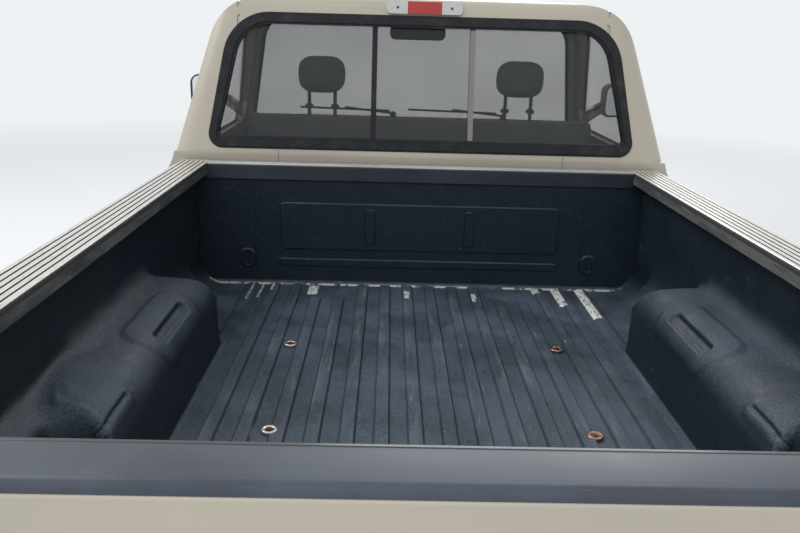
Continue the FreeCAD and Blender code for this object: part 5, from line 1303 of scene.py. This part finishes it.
def seat(cloth, shell):
    """Bench seat: stuffed cushion and backrest with sewn channels, two headrests, base and posts."""
    padded_piece(
        "seat_cushion", CUSHION_ROWS, -SEAT_HALF, SEAT_HALF, cloth, CUSHION_VOXEL, SEAM_X, (0, 0.2, 1),
    )
    padded_piece(
        "seat_back", BACK_ROWS, -SEAT_HALF, SEAT_HALF, cloth, CUSHION_VOXEL, SEAM_X, (0, 1, 0.2),
    )
    for side, name in NAMED_SIDES:
        ends = (side * REST_X - REST_HALF, side * REST_X + REST_HALF)
        padded_piece("headrest_" + name, REST_ROWS, *ends, cloth, REST_VOXEL, (), (0, 1, 0))
    mesh = bmesh.new()
    base = arc_corners([
        (-BASE_HALF, BASE_REAR, 0.03),
        (BASE_HALF, BASE_REAR, 0.03),
        (BASE_HALF, BASE_FRONT, 0.05),
        (-BASE_HALF, BASE_FRONT, 0.05),
    ])
    add_prism(mesh, base, flat_on, SEAT_FLOOR, SEAT_FLOOR + BASE_HIGH)
    for side, _ in NAMED_SIDES:
        for step in (-REST_POST_X, REST_POST_X):
            foot = (side * REST_X + step, 0.0, SEAT_FLOOR + POST_FOOT)
            add_disc(mesh, foot, UP, POST_ROWS, 14)
            add_disc(mesh, foot, UP, COLLAR_ROWS, 14)
    piece = join_body("seat_frame", sound(mesh), shell, "chassis", smooth=False)
    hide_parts("bench_seat")


# Rubber strips round the glass: width, and height over the glass
DOOR_STRIP = (0.014, 0.004)
SCREEN_STRIP = (0.020, 0.003)


def outer_face(node_name, facing):
    """Plane, corner ring and direction of a flat node's face on the given side."""
    data = nodes[node_name].data
    facing = Vector(facing)
    best = max((f for f in data.polygons if f.normal.dot(facing) > 0), key=lambda f: f.area)
    normal = best.normal.copy()
    level = best.center.dot(normal)
    spots = set()
    for face in data.polygons:
        if face.normal.dot(normal) > 0.999 and abs(face.center.dot(normal) - level) < 0.001:
            spots.update(face.vertices)
    across = Vector((0, 0, 1)).cross(normal).normalized()
    upward = normal.cross(across)
    flat = [(data.vertices[i].co.dot(across), data.vertices[i].co.dot(upward)) for i in spots]
    return normal, level, across, upward, hull(flat)


def hull(points):
    """Convex outline of flat points, running left about the middle."""
    points = sorted(set((round(a, 5), round(b, 5)) for a, b in points))
    chains = []
    for run in (points, points[::-1]):
        chain = []
        for p in run:
            while len(chain) > 1:
                (ax, ay), (bx, by) = chain[-2], chain[-1]
                if (bx - ax) * (p[1] - ay) - (by - ay) * (p[0] - ax) > 1e-9:
                    break
                chain.pop()
            chain.append(p)
        chains += chain[:-1]
    return [Vector(p) for p in chains]


def inset_ring(ring, inset):
    """The outline drawn in by an inset, corner by corner."""
    out = []
    count = len(ring)
    for i, here in enumerate(ring):
        one = (here - ring[i - 1]).normalized()
        two = (ring[(i + 1) % count] - here).normalized()
        inward = Vector((-one.y - two.y, one.x + two.x))
        inward.normalize()
        out.append(here + inward * inset / max(0.4, inward.dot(Vector((-one.y, one.x)))))
    return out


def strip(name, node_name, facing, size, material, body):
    """Rubber strip laid round the edge of a pane."""
    normal, level, across, upward, ring = outer_face(node_name, facing)
    wide, tall = size
    rows = []
    mesh = bmesh.new()
    for inset, height in ((0.0005, 0.0002), (0.0005, tall), (wide * 0.7, tall), (wide, 0.0002)):
        lift = normal * (level + height)
        spots = [across * p.x + upward * p.y + lift for p in inset_ring(ring, inset)]
        rows.append([mesh.verts.new(spot) for spot in spots])
    skin(mesh, rows, capped=False)
    join_body(name, sound(mesh), material, body, smooth=False)


# Wipers on the windshield: pivot x, blade from and to as x and distance up the glass from its foot
WIPERS = (
    ("left", -0.10, (-0.60, 0.075), (-0.12, 0.060)),
    ("right", 0.50, (-0.02, 0.075), (0.46, 0.060)),
)
PIVOT_UP = 0.030
PIVOT_ROWS = ((0.017, 0), (0.017, 0.012), (0.012, 0.018), (0.004, 0.020))


def wipers(material):
    normal, level, across, upward, ring = outer_face("windshield", (0, 1, 0.6))
    foot = min(p.y for p in ring)
    to_right = 1 if across.x > 0 else -1

    def spot(x, up, lift):
        return across * (x * to_right) + upward * (foot + up) + normal * (level + lift)

    for name, pivot, start, end in WIPERS:
        mesh = bmesh.new()
        add_bar(mesh, spot(*start, 0.004), spot(*end, 0.004), normal, 0.010, 0.009)
        middle = ((start[0] + end[0]) / 2, (start[1] + end[1]) / 2 + 0.004)
        add_bar(mesh, spot(pivot, PIVOT_UP, 0.012), spot(*middle, 0.014), normal, 0.014, 0.006)
        add_disc(mesh, spot(pivot, PIVOT_UP, 0.001), normal, PIVOT_ROWS, 18)
        join_body("wiper_" + name, sound(mesh), material, "chassis", smooth=False)


# Mirror plates: inset from the housing's outer edge, width, heights, distance behind the door's front
PLATE_IN = 0.011
PLATE_WIDE = 0.134
PLATE_LOW = 1.357
PLATE_HIGH = 1.494
MIRROR_BEHIND = 0.258


def mirror_plates(material):
    for side, name in NAMED_SIDES:
        low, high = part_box("door_" + name)
        outer = high.x if side > 0 else low.x
        near, far = outer - side * (PLATE_IN + PLATE_WIDE), outer - side * PLATE_IN
        x0, x1 = min(near, far), max(near, far)
        corners = [
            (x0, PLATE_LOW, 0.02),
            (x1, PLATE_LOW, 0.026),
            (x1, PLATE_HIGH, 0.03),
            (x0, PLATE_HIGH, 0.03),
        ]
        face = high.y - MIRROR_BEHIND
        mesh = bmesh.new()
        add_prism(mesh, arc_corners(corners), end_on, face - 0.0015, face + 0.001)
        join_body(
            "mirror_plate_" + name, sound(mesh), material, "door_" + name, smooth=False,
        )


# Door locks: |x|, distance ahead of the door's rear edge, height
LOCK_X = 0.966
LOCK_AHEAD = 0.105
LOCK_Z = 1.092
LOCK_ROWS = ((0.014, -0.004), (0.014, 0.0015), (0.011, 0.003), (0.004, 0.0032))


def door_locks(material):
    for side, name in NAMED_SIDES:
        mesh = bmesh.new()
        spot = (side * LOCK_X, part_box("door_" + name)[0].y + LOCK_AHEAD, LOCK_Z)
        add_disc(mesh, spot, (side, 0, 0), LOCK_ROWS, 20)
        join_body("door_lock_" + name, mesh, material, "door_" + name)


# Screws of the third brake lamp, as |x| and rows of radius and height
LAMP_SCREW_X = 0.098
SCREW_ROWS = ((0.0045, 0), (0.0045, 0.002), (0.002, 0.0028))


def lamp_screws(material):
    data = nodes["rear_lamps"].data
    high = [v.co for v in data.vertices if v.co.z > 1.6]
    face = min(v.y for v in high)
    middle = (min(v.z for v in high) + max(v.z for v in high)) / 2
    mesh = bmesh.new()
    for side in SIDES:
        add_disc(mesh, (side * LAMP_SCREW_X, face + 0.001, middle), (0, -1, 0), SCREW_ROWS, 16)
    join_body("lamp_screws", mesh, material, "chassis")


# Stage: a pale floor that fades into the backdrop
FLOOR_HALF = 60.0
FLOOR_COLOUR = (0.66, 0.66, 0.66)
BACKDROP = (0.86, 0.88, 0.90)
FLOOR_FADE = (3.5, 14.0)
SKY = (0.86, 0.92, 1.0)
SKY_STRENGTH = 0.70


def stage():
    mesh = bmesh.new()
    corners = ((-1, -1), (1, -1), (1, 1), (-1, 1))
    mesh.faces.new([mesh.verts.new((x * FLOOR_HALF, y * FLOOR_HALF, 0)) for x, y in corners])
    data = bpy.data.meshes.new("floor")
    mesh.to_mesh(data)
    mesh.free()
    floor = bpy.data.objects.new("floor", data)
    bpy.context.scene.collection.objects.link(floor)
    g = Graph("floor", FLOOR_COLOUR, rough=1.0, Specular_IOR_Level=0.0)
    away = g.length(g.axis("X"), g.axis("Y"))
    far = g.ramp(away, *FLOOR_FADE)
    g.set("Base Color", g.mix(far, FLOOR_COLOUR, (0, 0, 0)))
    g.set("Emission Color", (*BACKDROP, 1))
    g.set("Emission Strength", far)
    data.materials.append(g.material)


def world():
    """Soft pale sky on the object, and a plain pale backdrop where it is seen or mirrored."""
    sky = bpy.data.worlds.new("sky")
    bpy.context.scene.world = sky
    sky.use_nodes = True
    tree = sky.node_tree
    tree.nodes.clear()
    mixer = tree.nodes.new("ShaderNodeMixShader")
    for place, colour, strength in ((1, SKY, SKY_STRENGTH), (2, BACKDROP, 1.0)):
        light = tree.nodes.new("ShaderNodeBackground")
        light.inputs["Color"].default_value = (*colour, 1)
        light.inputs["Strength"].default_value = strength
        tree.links.new(light.outputs[0], mixer.inputs[place])
    path = tree.nodes.new("ShaderNodeLightPath")
    share = path.outputs["Is Glossy Ray"]
    for ray in ("Is Transmission Ray", "Is Camera Ray"):
        most = tree.nodes.new("ShaderNodeMath")
        most.operation = "MAXIMUM"
        tree.links.new(share, most.inputs[0])
        tree.links.new(path.outputs[ray], most.inputs[1])
        share = most.outputs[0]
    tree.links.new(share, mixer.inputs[0])
    out = tree.nodes.new("ShaderNodeOutputWorld")
    tree.links.new(mixer.outputs[0], out.inputs["Surface"])


# Lamps: name, place, size, power, seen in glass and chrome
LAMPS = (
    ("key", (-6.5, 1.0, 7.5), 4.5, 430.0, True),
    ("back", (-1.5, -7.0, 5.5), 7.0, 400.0, False),
    ("front", (2.0, 8.0, 6.5), 6.0, 340.0, True),
)
LAMP_AIM = (0, 0, 0.9)


def lamps():
    for name, place, size, power, mirrored in LAMPS:
        data = bpy.data.lights.new(name, "AREA")
        data.energy = power
        data.size = size
        lamp = bpy.data.objects.new(name, data)
        lamp.location = place
        lamp.visible_glossy = mirrored
        lamp.rotation_euler = (Vector(LAMP_AIM) - Vector(place)).to_track_quat("-Z", "Y").to_euler()
        bpy.context.scene.collection.objects.link(lamp)


def dress(names, material):
    for name in names:
        node = nodes[name]
        for index in range(max(1, len(node.material_slots))):
            if not node.material_slots:
                node.data.materials.append(material)
            node.material_slots[index].material = material


def finishes():
    """Each node's material."""
    dress(("hood", "fenders", "bed_sides"), body_paint("panel_paint", UNDERSEAL, Graph.inward))
    dress(("door_left", "door_right"), body_paint("door_paint", TRIM_DARK, door_inside))
    dress(("cab_sides", "cab_back_panel", "roof_panel"), body_paint("cab_paint", TRIM_GREY, cab_inside))
    dress(("tailgate",), body_paint("gate_paint", BLACK, gate_handle))
    plain_liner = liner_plastic()
    dress(("tailgate_cap",), cap_plastic())
    dress(("bed_front_wall",), front_wall_finish())
    dress(("bed_floor",), listed("underbody"))
    dress(("cab_floor",), carpet())
    dress(("rear_window_seal",), window_seal())
    dress(("rear_window_glass",), glass("rear_glass", (0.02, 0.025, 0.025), 0.34))
    dress(
        ("windshield", "door_glass_left", "door_glass_right"),
        glass("clear_glass", (0.03, 0.036, 0.036), 0.24),
    )
    steel = chassis_steel()
    dress(("ladder_frame", "rear_axle", "front_suspension", "knuckle_left", "knuckle_right"), steel)
    dress(("engine_block",), listed("engine_metal"))
    dress(("exhaust",), listed("exhaust_steel"))
    dress(("fuel_tank",), plastic("tank_plastic", (0.015, 0.015, 0.016), 0.6))
    dress(("spare_wheel",), spare_finish())
    trim = plastic("interior_plastic", (0.05, 0.05, 0.055), 0.55)
    dress(("dashboard", "steering_wheel", "interior_mirror"), trim)
    seat(fabric("seat_fabric", (0.13, 0.13, 0.135)), trim)
    black = plastic("black_rubber", (0.014, 0.014, 0.015), 0.55)
    strip("glass_strip_left", "door_glass_left", (-1, 0, 0), DOOR_STRIP, black, "door_left")
    strip("glass_strip_right", "door_glass_right", (1, 0, 0), DOOR_STRIP, black, "door_right")
    strip("screen_strip", "windshield", (0, 1, 0.6), SCREEN_STRIP, black, "chassis")
    wipers(black)
    mirror_plates(mirror_glass())
    dress(("grille",), grille_finish())
    dress(("headlamps",), lamp_glass())
    dress(("rear_lamps",), lamp_red())
    dress(("front_bumper", "rear_bumper"), chrome())
    dress(["rim_" + c for c in CORNERS], listed("rim_alloy"))
    tyres(listed("tyre_rubber"))
    nut_steel = bolt_steel("nut_steel", (0.5, 0.5, 0.5), 0.7)
    wheel_nuts(nut_steel)
    door_locks(nut_steel)
    liner(plain_liner)
    dark_bolt = bolt_steel("dark_bolt", (0.09, 0.06, 0.05), 0.45)
    lamp_screws(dark_bolt)
    bright_washer = bolt_steel("bright_washer", (0.62, 0.60, 0.57), 0.64)
    rusty_washer = bolt_steel("rusty_washer", (0.36, 0.22, 0.19), 0.56)
    bed_bolts(bright_washer, rusty_washer, dark_bolt)


make_camera()
stage()
world()
lamps()
finishes()

bpy.context.scene.view_settings.view_transform = "Standard"
